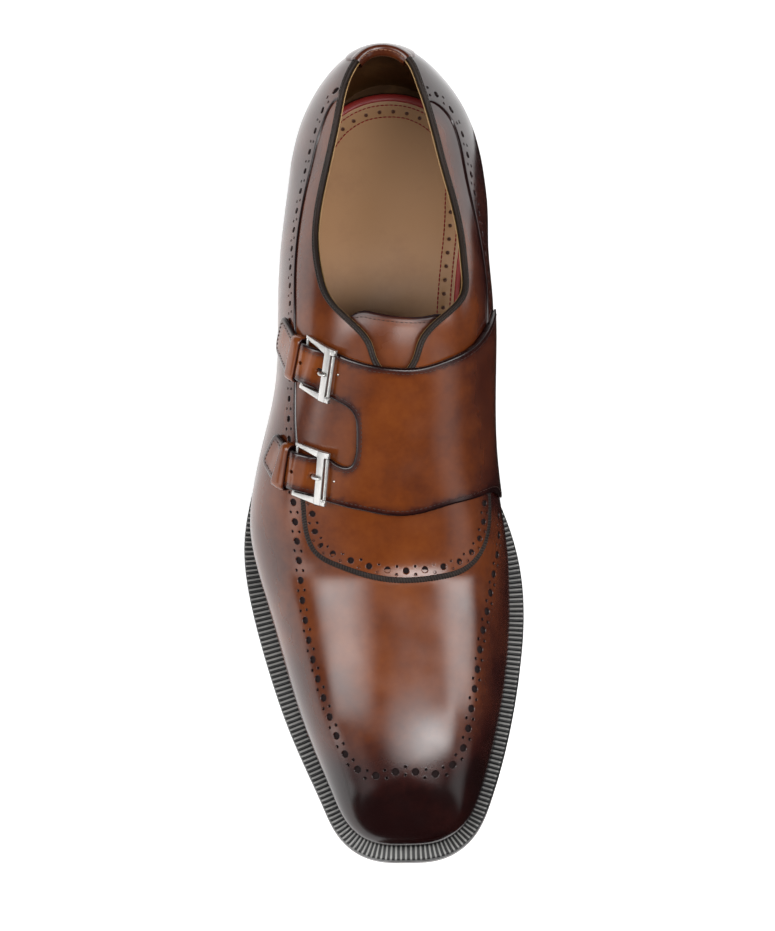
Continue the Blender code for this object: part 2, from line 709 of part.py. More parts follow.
def tube(name, points, radius, material, collection):
    """A round wire through the points (mm), with filled ends."""
    curve = bpy.data.curves.new(name, "CURVE")
    curve.dimensions = "3D"
    curve.bevel_depth = radius * MM
    curve.bevel_resolution = 1
    curve.use_fill_caps = True
    line = curve.splines.new("POLY")
    line.points.add(len(points) - 1)
    for point, place in zip(line.points, points):
        point.co = (*(Vector(place) * MM), 1.0)
    made = bpy.data.objects.new(name, curve)
    curve.materials.append(material)
    collection.objects.link(made)
    return made


def make_arm(name, side, shift, collection):
    """One side of the frame: it narrows from the front bar to the far bar."""
    ends = ((-ROLLER_REACH - 0.9, ARM), (0.0, ARM), (FRAME_LENGTH + 0.8, ARM_END))
    outer = side * FRAME_SPAN / 2
    grids = []
    for level in (-FRAME_THICK / 2, FRAME_THICK / 2):
        grid = []
        for x, width in ends:
            skew = -shift * max(x, 0.0) / FRAME_LENGTH
            thin = level * width / ARM
            grid.append([(x, outer + skew, thin), (x, outer - side * width + skew, thin)])
        grids.append(np.array(grid) * MM)
    made = bpy.data.objects.new(name, slab(name, *grids))
    collection.objects.link(made)
    return made


def make_buckle(last, row, panel, parts, cutters, metal):
    """The frame, the rod in front of it and the prong of one buckle, and the strap's prong hole."""
    name, _, station, girth, turn, dive, shift, _ = row
    place = buckle_matrix(last, station, girth, turn, dive)
    frame = box("buckle_" + name, (FRONT_BAR, FRAME_SPAN, FRAME_THICK), (0, 0, 0), parts, bevel=0.35)
    inside = FRAME_SPAN - 2 * ARM
    pieces = [make_arm(f"arm_{name}_heel", -1, shift, cutters), make_arm(f"arm_{name}_toe", 1, shift, cutters),
              rod("far_bar_" + name, FAR_BAR, inside + 2.2, (FRAME_LENGTH, -shift, 0), cutters)]
    for piece in pieces:
        join(frame, piece)
    roller = rod("roller_" + name, ROLLER, inside - 2 * GAP, (-ROLLER_REACH, 0, 0), parts)
    for item in (frame, roller):
        item.data.materials.append(metal)
    prong = make_prong(name, shift, parts, cutters, metal)
    hole = box("hole_" + name, (*PRONG_HOLE, 12.0), (PRONG_HOLE_AT, 0, 0), cutters)
    for item in (frame, roller, hole, *pieces, *prong):
        item.matrix_world = place
    cut(panel, hole)


def make_prong(name, shift, parts, cutters, metal):
    """A wire that rises from its ring on the far bar, through the strap, to rest on the front bar."""
    rest = FRAME_THICK / 2 + GAP + PRONG
    path = [(FRAME_LENGTH - PRONG_EYE + 0.35, -shift, 0), (8.0, -shift / 2, -0.3), (5.0, 0, -0.9),
            (3.6, 0, -0.5), (2.3, 0, rest - 0.3), (1.3, 0, rest), (-0.9, 0, rest)]
    wire = tube("wire_" + name, path, PRONG, metal, parts)
    wire.hide_render = True
    mesh = bpy.data.meshes.new_from_object(wire.evaluated_get(bpy.context.evaluated_depsgraph_get()))
    bpy.data.objects.remove(wire, do_unlink=True)
    work = bmesh.new()
    work.from_mesh(mesh)
    bmesh.ops.remove_doubles(work, verts=work.verts, dist=1e-6)
    bmesh.ops.recalc_face_normals(work, faces=work.faces)
    work.to_mesh(mesh)
    work.free()
    prong = add_object("prong_" + name, mesh, metal, parts)
    eye = rod("eye_" + name, PRONG_EYE, 2.0, (FRAME_LENGTH, -shift, 0), cutters, sides=16)
    bore = rod("bore_" + name, FAR_BAR + 0.2, 4.0, (FRAME_LENGTH, -shift, 0), cutters, sides=16)
    join(prong, eye)
    cut(prong, bore)
    return prong, eye, bore


def make_keeper(last, row, parts, material):
    """A leather loop round the strap, flat on the upper."""
    name, table, middle = row[0], row[1], row[-1]
    knots = column(table, "girth")
    half = float(np.interp(-middle, -knots, column(table, "half"))) + GAP
    wide = half + KEEPER_LEATHER
    grids = [[], []]
    for shift in (KEEPER_WIDTH / 2, 0.0, -KEEPER_WIDTH / 2):
        girth = middle + shift
        under = float(np.interp(-girth, -knots, column(table, "lift"))) - GAP
        over = under + 2 * GAP + STRAP_LEATHER
        top = over + KEEPER_LEATHER
        inner = [(-half, under), (-half, over), (-half / 2, over), (0, over), (half / 2, over),
                 (half, over), (half, under), (0, under)]
        outer = [(-wide, GAP), (-wide, top - 0.7), (-half / 2, top), (0, top), (half / 2, top),
                 (wide, top - 0.7), (wide, GAP), (0, GAP)]
        for grid, line in zip(grids, (inner, outer)):
            grid.append([last.at(*strap_place(last, table, girth, aside), lift) for aside, lift in line])
    grids = [shoe_to_world(grid).transpose(1, 0, 2) for grid in grids]
    return add_object("keeper_" + name, slab("keeper_" + name, *grids, closed=True), material, parts)


def main():
    clear_scene()
    parts = make_collection("double_monk_strap_shoe")
    cutters = make_collection("cutters")
    tan = make_material("burnished_leather", (0.21, 0.06, 0.02), 0.3)
    dark = make_material("edge_leather", (0.02, 0.015, 0.013), 0.45)
    sock = make_material("sock_leather", (0.30, 0.18, 0.11), 0.6)
    rubber = make_material("heel_rubber", (0.02, 0.02, 0.02), 0.7)
    metal = make_material("polished_steel", (0.75, 0.74, 0.72), 0.15, metallic=1.0)
    last = Last(SOLE_COLUMNS, LAST_ROWS)

    make_outsole(parts, dark)
    make_welt(parts, dark)
    make_insole(parts, sock)
    make_heel("heel_stack", lambda s: 0 * s + TOP_PIECE + GAP, lambda s: underside(s) - GAP,
              1.4, 0.3, parts, dark)
    make_heel("top_piece", lambda s: 0 * s, lambda s: 0 * s + TOP_PIECE, 1.6, 1.4, parts, rubber)
    make_upper(last, parts, tan)
    make_tongue(last, parts, tan)
    panel = make_strap_panel(last, parts, tan)
    for row in BUCKLES[1:]:
        make_buckle(last, row, panel, parts, cutters, metal)
        make_keeper(last, row, parts, tan)


main()
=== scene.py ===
"""The looks of a man's double monk strap shoe with brogue detail, right foot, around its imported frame.

Lengths are in millimetres until a mesh is made. A station is the distance from the sole's back edge
towards the toe, and a girth the distance along the surface from the crown line, minus on the lateral
side. The upper and all that lies on it follow one surface, the lasted shape.
"""

import bmesh
import bpy
import numpy as np
from mathutils import Matrix, Vector
from mathutils.bvhtree import BVHTree
from mathutils.geometry import delaunay_2d_cdt
from mathutils.interpolate import poly_3d_calc
from mathutils.kdtree import KDTree


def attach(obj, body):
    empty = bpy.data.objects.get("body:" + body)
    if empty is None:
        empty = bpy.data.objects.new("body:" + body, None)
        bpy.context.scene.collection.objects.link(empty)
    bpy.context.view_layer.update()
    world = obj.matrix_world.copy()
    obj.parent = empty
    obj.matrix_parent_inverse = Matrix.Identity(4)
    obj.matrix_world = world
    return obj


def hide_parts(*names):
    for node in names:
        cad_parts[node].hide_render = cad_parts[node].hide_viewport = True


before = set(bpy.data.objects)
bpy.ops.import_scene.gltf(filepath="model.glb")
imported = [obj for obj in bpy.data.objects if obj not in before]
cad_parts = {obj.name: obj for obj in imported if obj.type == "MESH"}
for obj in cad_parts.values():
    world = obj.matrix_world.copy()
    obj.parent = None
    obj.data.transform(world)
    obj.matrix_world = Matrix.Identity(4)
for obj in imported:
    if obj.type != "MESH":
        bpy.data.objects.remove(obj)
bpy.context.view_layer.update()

MM = 0.001

# Driving dimensions, mm
LENGTH = 302.0          # outsole, back edge to toe
TREAD_CENTRE = 38.0     # station of the origin
HEEL_HEIGHT = 25.5      # floor to the sole's underside at the back
HEEL_LENGTH = 77.0      # back edge to the heel breast
BREAST_HOLLOW = 3.0     # the heel breast curves in by this much
TOP_PIECE = 6.0         # thickness of the heel's lowest layer
SOLE = 5.0              # outsole thickness
WELT = 3.2              # welt thickness
WALL = 2.0              # upper and its lining
INSOLE_PROUD = 2.6      # insole above the feather line
STRAP_LEATHER = 1.8     # panel, straps
TONGUE_LEATHER = 2.4
TOE_SPRING = 12.0       # floor to the sole's underside at the toe tip
GAP = 0.3               # between neighbouring pieces

# The sole's underside: the waist falls from the heel to the tread, then lies flat, then springs
SEAT_FALL = 0.015       # seat slope, mm per mm
WAIST_START, TREAD_START, TREAD_END = 62.0, 174.0, 206.0

# Where the outline closes round the heel and the toe, and how square each end is
HEEL_ROUND, TOE_ROUND = 44.0, 22.0
HEEL_SQUARE, TOE_SQUARE = 2.05, 3.0
HEEL_AXIS, TOE_AXIS = -1.1, 2.5

# Columns fan out round two poles on the crown line: station where the fan starts, and the ends
HEEL_FAN = (56.0, 8.0)
TOE_FAN = (262.0, 284.0)

OUTLINE = (
    ("station", "lateral", "medial", "margin_lateral", "margin_medial"),
    (0, 33.0, 31.0, 2.4, 2.4),
    (35, 34.2, 32.0, 2.4, 2.4),
    (65, 34.8, 30.2, 2.6, 2.6),
    (95, 38.0, 27.2, 3.0, 3.0),
    (125, 46.2, 28.0, 4.0, 3.2),
    (150, 53.2, 34.5, 4.8, 4.2),
    (175, 58.3, 43.6, 6.0, 6.0),
    (200, 56.1, 47.6, 8.2, 7.2),
    (225, 49.9, 46.0, 8.4, 6.3),
    (250, 41.8, 41.7, 7.2, 5.8),
    (280, 29.3, 33.3, 6.4, 5.6),
    (302, 21.0, 25.0, 6.6, 6.6),
)

# bulge: how far the widest point stands out past the feather line; round: 2 is an ellipse
BODY = (
    ("station", "bulge_lateral", "bulge_medial", "widest", "crown", "crown_x", "round_lateral",
     "round_medial"),
    (0, 1.3, 1.3, 48.0, 107.0, -1.0, 3.3, 3.3),
    (8, 2.6, 2.8, 48.0, 106.0, -1.2, 2.5, 2.35),
    (17, 3.8, 4.0, 49.0, 104.0, -1.8, 1.95, 1.8),
    (35, 4.8, 5.0, 50.0, 102.0, -2.4, 1.62, 1.62),
    (57, 6.9, 8.0, 50.0, 101.0, -2.0, 1.75, 1.85),
    (77, 8.1, 9.6, 50.0, 102.0, -0.4, 2.0, 2.4),
    (95, 7.0, 12.2, 50.0, 104.0, 1.2, 2.15, 2.7),
    (110, 4.4, 13.0, 48.0, 104.5, 2.2, 2.15, 2.6),
    (126, 2.2, 12.0, 45.0, 99.5, 2.2, 2.05, 2.3),
    (145, 2.6, 8.4, 39.0, 89.0, 1.5, 2.0, 2.1),
    (170, 2.8, 3.6, 30.0, 75.5, 0.5, 2.0, 2.05),
    (186, 2.6, 2.6, 25.0, 66.3, -0.2, 2.05, 2.05),
    (192, 2.55, 2.34, 23.1, 63.0, -0.4, 2.07, 2.07),
    (198.5, 2.48, 2.11, 21.6, 59.9, -0.5, 2.11, 2.11),
    (202, 2.41, 2.03, 21.1, 58.9, -0.5, 2.14, 2.14),
    (207, 2.3, 1.95, 20.7, 58.1, -0.5, 2.18, 2.18),
    (220, 2.1, 1.7, 20.0, 56.1, -0.5, 2.25, 2.25),
    (245, 1.8, 1.6, 20.5, 52.0, 0.5, 2.45, 2.45),
    (264, 1.8, 1.6, 22.5, 47.8, 1.4, 2.5, 2.5),
    (276, 1.8, 1.7, 24.0, 43.6, 2.0, 2.15, 2.15),
    (288, 1.8, 1.8, 25.5, 37.4, 2.5, 1.7, 1.7),
    (302, 1.9, 1.9, 26.5, 29.5, 3.0, 1.25, 1.25),
)

# How far up each column the upper goes, as a share of its way from feather line to crown
TOPLINE = (
    ("station", "lateral", "medial"),
    (0, 0.645, 0.645),
    (3, 0.695, 0.668),
    (8, 0.738, 0.705),
    (21, 0.766, 0.717),
    (41, 0.737, 0.692),
    (65, 0.678, 0.661),
    (79, 0.678, 0.665),
    (93, 0.713, 0.690),
    (102, 0.751, 0.716),
    (109, 0.808, 0.788),
    (115, 0.866, 0.860),
    (121, 0.911, 0.907),
    (128, 0.936, 0.932),
    (136, 1.0, 1.0),
)

# The strap panel by girth, measured along the surface from the crown: minus is lateral.
# back and front are its edges, and split_back and split_front the sides of the gap between the straps.
PANEL = (
    ("girth", "back", "split_back", "split_front", "front"),
    (64.0, 103.0, 126.0, 150.0, 163.5),
    (60.0, 101.6, 127.5, 152.0, 165.6),
    (48.0, 107.3, 131.0, 155.0, 166.2),
    (34.0, 118.8, 136.5, 158.0, 170.6),
    (21.0, 125.6, 140.5, 159.0, 175.0),
    (8.0, 130.0, 145.0, 158.0, 179.4),
    (-4.0, 129.8, 148.0, 157.0, 179.6),
    (-14.0, 127.0, 148.0, 156.5, 177.3),
    (-15.0, 126.6, 144.6, 161.3, 177.1),
    (-16.8, 125.9, 142.6, 162.6, 176.6),
    (-18.9, 124.9, 141.1, 162.3, 175.9),
    (-21.5, 123.4, 139.8, 161.0, 175.0),
)
SPLIT_GIRTH = -14.0     # the gap opens here
PANEL_LIFT = 0.5        # underside of the panel above the upper

# The two straps beyond the panel: centre line, half width and how far the underside stands off
# the upper. Each strap passes under its buckle's front bar and over the bar at the far side.
STRAP_BACK = (
    ("girth", "station", "half", "lift"),
    (-24.0, 130.4, 8.6, 0.50),
    (-26.6, 129.1, 8.0, 0.45),
    (-28.2, 128.2, 7.6, 0.90),
    (-30.8, 126.8, 7.3, 2.80),
    (-33.0, 125.6, 7.2, 3.10),
    (-34.6, 124.8, 7.2, 3.35),
    (-36.6, 123.8, 7.2, 3.35),
    (-38.4, 122.9, 7.2, 2.30),
    (-40.3, 122.0, 7.2, 1.90),
    (-43.0, 120.7, 7.3, 1.80),
    (-46.0, 118.7, 7.4, 1.10),
    (-50.0, 115.1, 7.6, 0.45),
    (-55.3, 110.0, 7.6, 0.45),
    (-57.0, 108.4, 6.2, 0.45),
)
STRAP_FRONT = (
    ("girth", "station", "half", "lift"),
    (-24.0, 166.6, 8.4, 0.50),
    (-28.4, 164.7, 7.8, 0.45),
    (-30.0, 164.1, 7.5, 0.90),
    (-32.6, 163.1, 7.2, 2.65),
    (-34.8, 162.2, 7.2, 2.95),
    (-36.4, 161.6, 7.2, 3.45),
    (-38.4, 160.8, 7.2, 3.45),
    (-40.2, 160.2, 7.3, 2.50),
    (-42.2, 159.3, 7.4, 1.90),
    (-45.8, 157.4, 7.5, 1.80),
    (-48.2, 155.8, 7.6, 1.10),
    (-50.6, 154.0, 7.6, 0.45),
    (-54.4, 150.9, 7.6, 0.45),
    (-56.0, 149.5, 6.2, 0.45),
)

# Tongue: a leaf under the panel, inside the quarters
TONGUE_LEAF = (
    ("station", "lateral", "medial"),
    (109.5, -20.0, 25.0),
    (114.0, -24.0, 28.0),
    (125.0, -25.0, 28.0),
    (145.0, -24.0, 26.0),
    (168.0, -20.0, 21.0),
)

# Buckles: the middle of the front bar, how far the frame turns towards the heel and dives to its
# far bar, in degrees, how far the far bar is shifted towards the heel, and the keeper's place
BUCKLES = (
    ("name", "strap", "station", "girth", "turn", "dive", "shift", "keeper"),
    ("back", STRAP_BACK, 129.9, -25.3, 22.0, 16.0, 1.6, -40.4),
    ("front", STRAP_FRONT, 164.9, -27.0, 16.5, 16.0, 0.8, -43.2),
)
FRAME_SPAN = 20.4       # over both arms
FRAME_LENGTH = 11.6     # front bar to far bar, middle to middle
FRAME_THICK = 1.7
FRAME_LIFT = 3.85       # front bar's middle above the upper
FRONT_BAR = 2.8         # width
ARM = 2.1               # width beside the front bar
ARM_END = 1.4           # width at the far bar
ROLLER = 0.65           # radius of the rod in front of the front bar
ROLLER_REACH = 3.0      # front bar's middle to the rod
FAR_BAR = 0.6           # radius of the bar under the strap
PRONG = 0.6             # radius of the prong
PRONG_EYE = 1.15        # outer radius of the prong's ring round the far bar
PRONG_HOLE = (1.1, 0.85, 3.1)   # the hole in the strap: half along, half across, and off the front bar
KEEPER_WIDTH = 5.0
KEEPER_LEATHER = 1.2

# Stitches: pitch, length, thread radius and, where the row is sunk, how deep
SOCK_SEWING = (1.75, 1.5, 0.25)
TONGUE_SEWING = (1.7, 1.25, 0.17)
TAB_SEWING = (1.7, 1.5, 0.17)
BINDING_SEWING = (1.3, 1.0, 0.2, 0.05)
PANEL_SEWING = (1.75, 1.2, 0.15, 0.04)

# Brogue punching: how far to the line's left the holes' middle runs, the big and the small radius
FOXING_HOLES = (-4.2, 1.15, 0.5)
VAMP_HOLES = (0.0, 1.35, 0.52)
FACING_HOLES = (3.5, 1.2, 0.5)
SMALL_APART = 1.55      # each small hole off that middle
RIM = 0.09              # how far the ring round a hole stands up
TOE_RIM = 0.14          # how much more it stands up at the toe

# Mesh fineness
SKIN_SIDES = 220        # columns a side
SKIN_ROWS = 111
GIRTH_STEP = 0.5


# Curves and tables

def unit(rows):
    """Each vector at length 1."""
    return rows / np.linalg.norm(rows, axis=-1, keepdims=True)


def turns(count):
    """Angles spaced evenly round a circle."""
    return np.arange(count) * 2 * np.pi / count


def smoothstep(low, high, value):
    share = np.clip((np.asarray(value, float) - low) / (high - low), 0, 1)
    return share * share * (3 - 2 * share)


def arc_of(path):
    """How far along a path each of its points lies."""
    return np.r_[0, np.cumsum(np.linalg.norm(np.diff(path, axis=0), axis=1))]


def between(at, x, rows):
    """Rows of values known at x, read at other places."""
    return np.stack([np.interp(at, x, rows[:, axis]) for axis in range(rows.shape[1])], -1)


def at_index(rows, index):
    """Rows read at fractional indexes."""
    return between(index, np.arange(len(rows)), rows)


def even(path, step):
    """Places along a path, evenly spaced by about this step, as fractional indexes."""
    arc = arc_of(path)
    count = max(2, int(round(arc[-1] / step)) + 1)
    return np.interp(np.linspace(0, arc[-1], count), arc, np.arange(len(path)))


def evened(path, step):
    """The path with its points evenly spaced by about this step."""
    return at_index(path, even(path, step))


def blurred(loop):
    """A closed loop with each point moved towards its neighbours."""
    return (np.roll(loop, 1, 0) + 2 * loop + np.roll(loop, -1, 0)) / 4


def column(table, name):
    place = table[0].index(name)
    return np.array([row[place] for row in table[1:]], float)


def spline(x, y, at, end=None):
    """The cubic spline through (x, y), x rising, read at the given places: natural, or else with this
    slope at its end."""
    step, rise = np.diff(x), np.diff(y, axis=0)
    matrix, right = np.eye(len(x)), np.zeros(np.shape(y))
    for i in range(1, len(x) - 1):
        matrix[i, i - 1:i + 2] = step[i - 1], 2 * (step[i - 1] + step[i]), step[i]
        right[i] = 6 * (rise[i] / step[i] - rise[i - 1] / step[i - 1])
    if end is not None:
        matrix[-1, -2:] = step[-1], 2 * step[-1]
        right[-1] = 6 * (end - rise[-1] / step[-1])
    bend = np.linalg.solve(matrix, right)
    at = np.clip(np.asarray(at, float), x[0], x[-1])
    k = np.clip(np.searchsorted(x, at) - 1, 0, len(x) - 2)
    low, high, width = at - x[k], x[k + 1] - at, step[k]
    if np.ndim(y) > 1:
        low, high, width = low[:, None], high[:, None], width[:, None]
    return ((bend[k] * high**3 + bend[k + 1] * low**3) / (6 * width)
            + (y[k] / width - bend[k] * width / 6) * high
            + (y[k + 1] / width - bend[k + 1] * width / 6) * low)


def read(table, name, at):
    """A table's named column at any value of its first column."""
    x, y = column(table, table[0][0]), column(table, name)
    order = np.argsort(x)
    return spline(x[order], y[order], at)


def section_curve(points, end_slope, count):
    """A smooth curve through section points that ends on the crown along its slope."""
    chord = arc_of(points)
    curve = spline(chord, points, np.linspace(0, chord[-1], 6 * count), -unit(np.array([1.0, end_slope])))
    arc = arc_of(curve)
    return between(np.linspace(0, arc[-1], count), arc, curve)


def to_world(points):
    """(x, station, z) in the model's axes."""
    return points * [1, -1, 1] + [0, TREAD_CENTRE, 0]


# The sole's outline and heights

def sole_edge(station, side):
    """x of the sole's edge: side -1 is lateral, 1 is medial."""
    heel = np.clip((HEEL_ROUND - station) / HEEL_ROUND, 0, 1)
    toe = np.clip((station - LENGTH + TOE_ROUND) / TOE_ROUND, 0, 1)
    close = (1 - heel**HEEL_SQUARE)**(1 / HEEL_SQUARE) * (1 - toe**TOE_SQUARE)**(1 / TOE_SQUARE)
    axis = HEEL_AXIS + (TOE_AXIS - HEEL_AXIS) * station / LENGTH
    breadth = read(OUTLINE, "lateral" if side < 0 else "medial", station)
    return axis + (side * breadth - axis) * close


def underside(station):
    station = np.asarray(station, float)
    along = np.clip((station - WAIST_START) / (TREAD_START - WAIST_START), 0, 1)
    waist = 1 - along * along * (3 - 2 * along)
    spring = np.clip((station - TREAD_END) / (LENGTH - TREAD_END), 0, 1)
    return (HEEL_HEIGHT - SEAT_FALL * station) * waist + TOE_SPRING * spring**2


def feather_height(station):
    return underside(station) + SOLE + WELT + 2 * GAP


def stations(count):
    """Stations from heel to toe, closer together at both ends, where the outline turns."""
    turn = np.linspace(0, np.pi, count + 1)
    eased = (1 - np.cos(turn)) / 2
    share = 0.75 + 0.25 * np.abs(np.cos(turn))
    return LENGTH * (eased * share + np.linspace(0, 1, count + 1) * (1 - share))


def loop_of(along):
    """The closed outline: heel back, lateral side, toe tip, medial side. Also each point's side."""
    lateral = np.stack([sole_edge(along, -1), along], 1)
    medial = np.stack([sole_edge(along, 1), along], 1)[-2:0:-1]
    side = np.r_[0.5, np.zeros(len(along) - 2), 0.5, np.ones(len(medial))]
    return np.vstack([lateral, medial]), side


def inwards(loop):
    """The loop's unit normals in plan, pointing into the shoe."""
    run = unit(np.roll(loop, -1, 0) - np.roll(loop, 1, 0))
    return np.stack([run[:, 1], -run[:, 0]], 1)


def by_side(table, name, station, side):
    """A table's lateral and medial columns of this name, mixed by the side."""
    return read(table, name + "lateral", station) * (1 - side) + read(table, name + "medial",
                                                                      station) * side


def crown_station(station):
    """The station on the crown line that the column from this outline station runs up to."""
    reached = np.array(station, float)
    for start, end in (HEEL_FAN, TOE_FAN):
        sign = np.sign(end - start)
        past = np.clip(sign * (station - start), 0, abs(end - start))
        eased = start + sign * (past - past**2 / (2 * abs(end - start)))
        reached = np.where(sign * (station - start) > 0, eased, reached)
    return reached


# The lasted shape

class Last:
    """The upper's outer surface: columns round the outline, each a row of points up to the crown.
    Points are (x, y, z) in mm in the model's axes."""

    def __init__(self, sides, rows):
        self.along = stations(sides)
        edge, self.side = loop_of(self.along)
        station = self.station = edge[:, 1]
        self.feather = edge + inwards(edge) * by_side(OUTLINE, "margin_", station, self.side)[:, None]
        crown_at = crown_station(station)
        crown = np.stack([read(BODY, "crown_x", crown_at), crown_at], 1)
        crown_z = read(BODY, "crown", crown_at)
        crown_slope = read(BODY, "crown", crown_at + 0.5) - read(BODY, "crown", crown_at - 0.5)
        out = self.feather - crown
        reach = np.linalg.norm(out, axis=1)
        out /= reach[:, None]
        widest = reach + by_side(BODY, "bulge_", station, self.side)
        widest_z = read(BODY, "widest", station)
        corner = 2 ** (-1 / by_side(BODY, "round_", station, self.side))
        foot_z = feather_height(station)
        grid = np.zeros((len(edge), rows, 3))
        for i in range(len(edge)):
            rise = crown_z[i] - widest_z[i]
            points = np.array([(reach[i], foot_z[i]), (widest[i], widest_z[i]),
                               (widest[i] * corner[i], widest_z[i] + rise * corner[i]), (0, crown_z[i])])
            curve = section_curve(points, crown_slope[i] * out[i, 1], rows)
            grid[i, :, :2] = crown[i] + out[i] * curve[:, :1]
            grid[i, :, 2] = curve[:, 1]
        self.grid = to_world(grid)
        self.normal = self.normals()
        arc = np.cumsum(np.linalg.norm(np.diff(self.grid[:, ::-1], axis=1), axis=2), axis=1)
        self.girth = np.concatenate([np.zeros((len(edge), 1)), arc], 1)[:, ::-1]
        self.tabulate()
        self.tree = BVHTree.FromPolygons(self.grid.reshape(-1, 3).tolist(),
                                         grid_faces(len(edge), rows, wrap_rows=True).tolist())
        self.tone = np.zeros(self.grid.shape[0] * rows)

    def normals(self):
        round_it = np.roll(self.grid, -1, 0) - np.roll(self.grid, 1, 0)
        up = np.gradient(self.grid, axis=1)
        normal = np.cross(round_it, up)
        normal /= np.maximum(np.linalg.norm(normal, axis=2, keepdims=True), 1e-9)
        normal[:, -1] = unit(normal[:, -2] + normal[(-np.arange(len(normal))) % len(normal), -2])
        return normal

    def tabulate(self):
        """Points and normals at every station and even girths, for both sides."""
        half = len(self.along) - 1
        girths = np.arange(0.0, 150.0, GIRTH_STEP)
        both = np.concatenate([self.grid, self.normal], 2)
        self.table = np.zeros((2, half + 1, len(girths), 6))
        for side in (0, 1):
            for k in range(half + 1):
                i = (k, -k)[side] % len(self.grid)
                self.table[side, k] = between(girths, self.girth[i, ::-1], both[i, ::-1])

    def place(self, station, girth, lift=0.0):
        """Points this far from the crown along the section, lifted off the surface, and their normals."""
        station, girth, lift = np.broadcast_arrays(*(np.asarray(v, float) for v in (station, girth, lift)))
        half = len(self.along) - 1
        across = np.interp(station, self.along, np.arange(half + 1))
        down = np.abs(girth) / GIRTH_STEP
        i = np.minimum(across.astype(int), half - 1)
        j = np.minimum(down.astype(int), self.table.shape[2] - 2)
        a, b = (across - i)[..., None], (down - j)[..., None]
        side = (girth > 0).astype(int)
        table = self.table
        found = ((1 - a) * ((1 - b) * table[side, i, j] + b * table[side, i, j + 1])
                 + a * ((1 - b) * table[side, i + 1, j] + b * table[side, i + 1, j + 1]))
        normal = unit(found[..., 3:])
        return found[..., :3] + lift[..., None] * normal, normal

    def drop(self, points):
        """The nearest points of the surface, and the normals and tones there."""
        flat = np.asarray(points, float).reshape(-1, 3)
        corners, normals = self.grid.reshape(-1, 3), self.normal.reshape(-1, 3)
        count, rows = self.grid.shape[:2]
        found = np.zeros((len(flat), 7))
        for n, point in enumerate(flat):
            place, _, face, _ = self.tree.find_nearest(point)
            i, j = divmod(face, rows - 1)
            k = (i + 1) % count
            ring = [i * rows + j, k * rows + j, k * rows + j + 1, i * rows + j + 1]
            weight = np.array(poly_3d_calc([Vector(corners[c]) for c in ring], place))
            found[n, :3] = place
            found[n, 3:6] = weight @ normals[ring]
            found[n, 6] = weight @ self.tone[ring]
        found[:, 3:6] = unit(found[:, 3:6])
        found = found.reshape(*np.shape(points)[:-1], 7)
        return found[..., :3], found[..., 3:6], found[..., 6]


class Line:
    """A smooth line on the lasted shape through (station, girth) places, read by its length."""

    def __init__(self, last, places, step=0.5):
        knots = last.place(*np.array(places, float).T)[0]
        chord = arc_of(knots)
        self.last = last
        dense = np.arange(0, chord[-1] + step / 2, step)
        self.points, self.normals, _ = last.drop(spline(chord, knots, dense))
        self.sides = unit(np.cross(self.normals, np.gradient(self.points, axis=0)))
        self.arc = arc_of(self.points)
        self.length = self.arc[-1]

    def at(self, along):
        """Points, normals and the directions to the left of the line."""
        point, normal, side = (between(along, self.arc, rows)
                               for rows in (self.points, self.normals, self.sides))
        return point, unit(normal), unit(side)

    def spread(self, along, aside, lift=0.0):
        """Points of the surface beside the line, lifted off it, with normals and tones."""
        point, _, side = self.at(along)
        place, normal, tone = self.last.drop(point + np.asarray(aside, float)[..., None] * side)
        return place + np.asarray(lift, float)[..., None] * normal, normal, tone

    def measure(self, points):
        """How far along the line each point lies, and how far to its left."""
        tree = KDTree(len(self.points))
        for n, point in enumerate(self.points):
            tree.insert(point, n)
        tree.balance()
        near = np.array([tree.find(point)[1] for point in points])
        away = points - self.points[near]
        return self.arc[near], np.einsum("ij,ij->i", away, self.sides[near])


# Mesh helpers

collection = bpy.data.collections.new("looks")
bpy.context.scene.collection.children.link(collection)


def grid_faces(rows, columns, wrap_rows=False, wrap_columns=False):
    """Quads of a grid of points whose second index runs to the left of its first, seen from outside."""
    i, j = np.meshgrid(np.arange(rows - (not wrap_rows)), np.arange(columns - (not wrap_columns)),
                       indexing="ij")
    k, m = (i + 1) % rows, (j + 1) % columns
    quads = np.stack([i * columns + j, k * columns + j, k * columns + m, i * columns + m], -1)
    return quads.reshape(-1, 4)


def add_piece(name, points, faces, material, slot, tone=0.0, normals=None, sharp=None, solid=False,
              weld=False):
    """A shown piece from points in mm: tone is how burnished each point is, from 0 to 1, and in the
    lining, the welt and the gimped band also painted shade or a painted highlight.
    """
    mesh = bpy.data.meshes.new(name)
    mesh.from_pydata((np.asarray(points).reshape(-1, 3) * MM).tolist(), [], [list(f) for f in faces])
    values = np.zeros(len(mesh.vertices)) + tone
    mesh.attributes.new("tone", "FLOAT", "POINT").data.foreach_set("value", values.astype(np.float32))
    if solid or weld:
        work = bmesh.new()
        work.from_mesh(mesh)
        if weld:
            bmesh.ops.remove_doubles(work, verts=work.verts, dist=2e-6)
        if solid:
            bmesh.ops.recalc_face_normals(work, faces=work.faces)
        work.to_mesh(mesh)
        work.free()
    mesh.materials.append(material)
    mesh.shade_smooth()
    if sharp:
        mesh.set_sharp_from_angle(angle=np.radians(sharp))
    if normals is not None:
        mesh.normals_split_custom_set_from_vertices(normals.reshape(-1, 3).tolist())
    piece = bpy.data.objects.new(name, mesh)
    collection.objects.link(piece)
    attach(piece, "root")
    return piece


def ring_quads(low, high, count):
    """The quads between two rings of points, which start at these indexes."""
    return [[low + i, low + (i + 1) % count, high + (i + 1) % count, high + i] for i in range(count)]


def copies(faces, size, count):
    """Faces repeated for copies of a set of points of this size."""
    return [[v + k * size for v in face] for k in range(count) for face in faces]


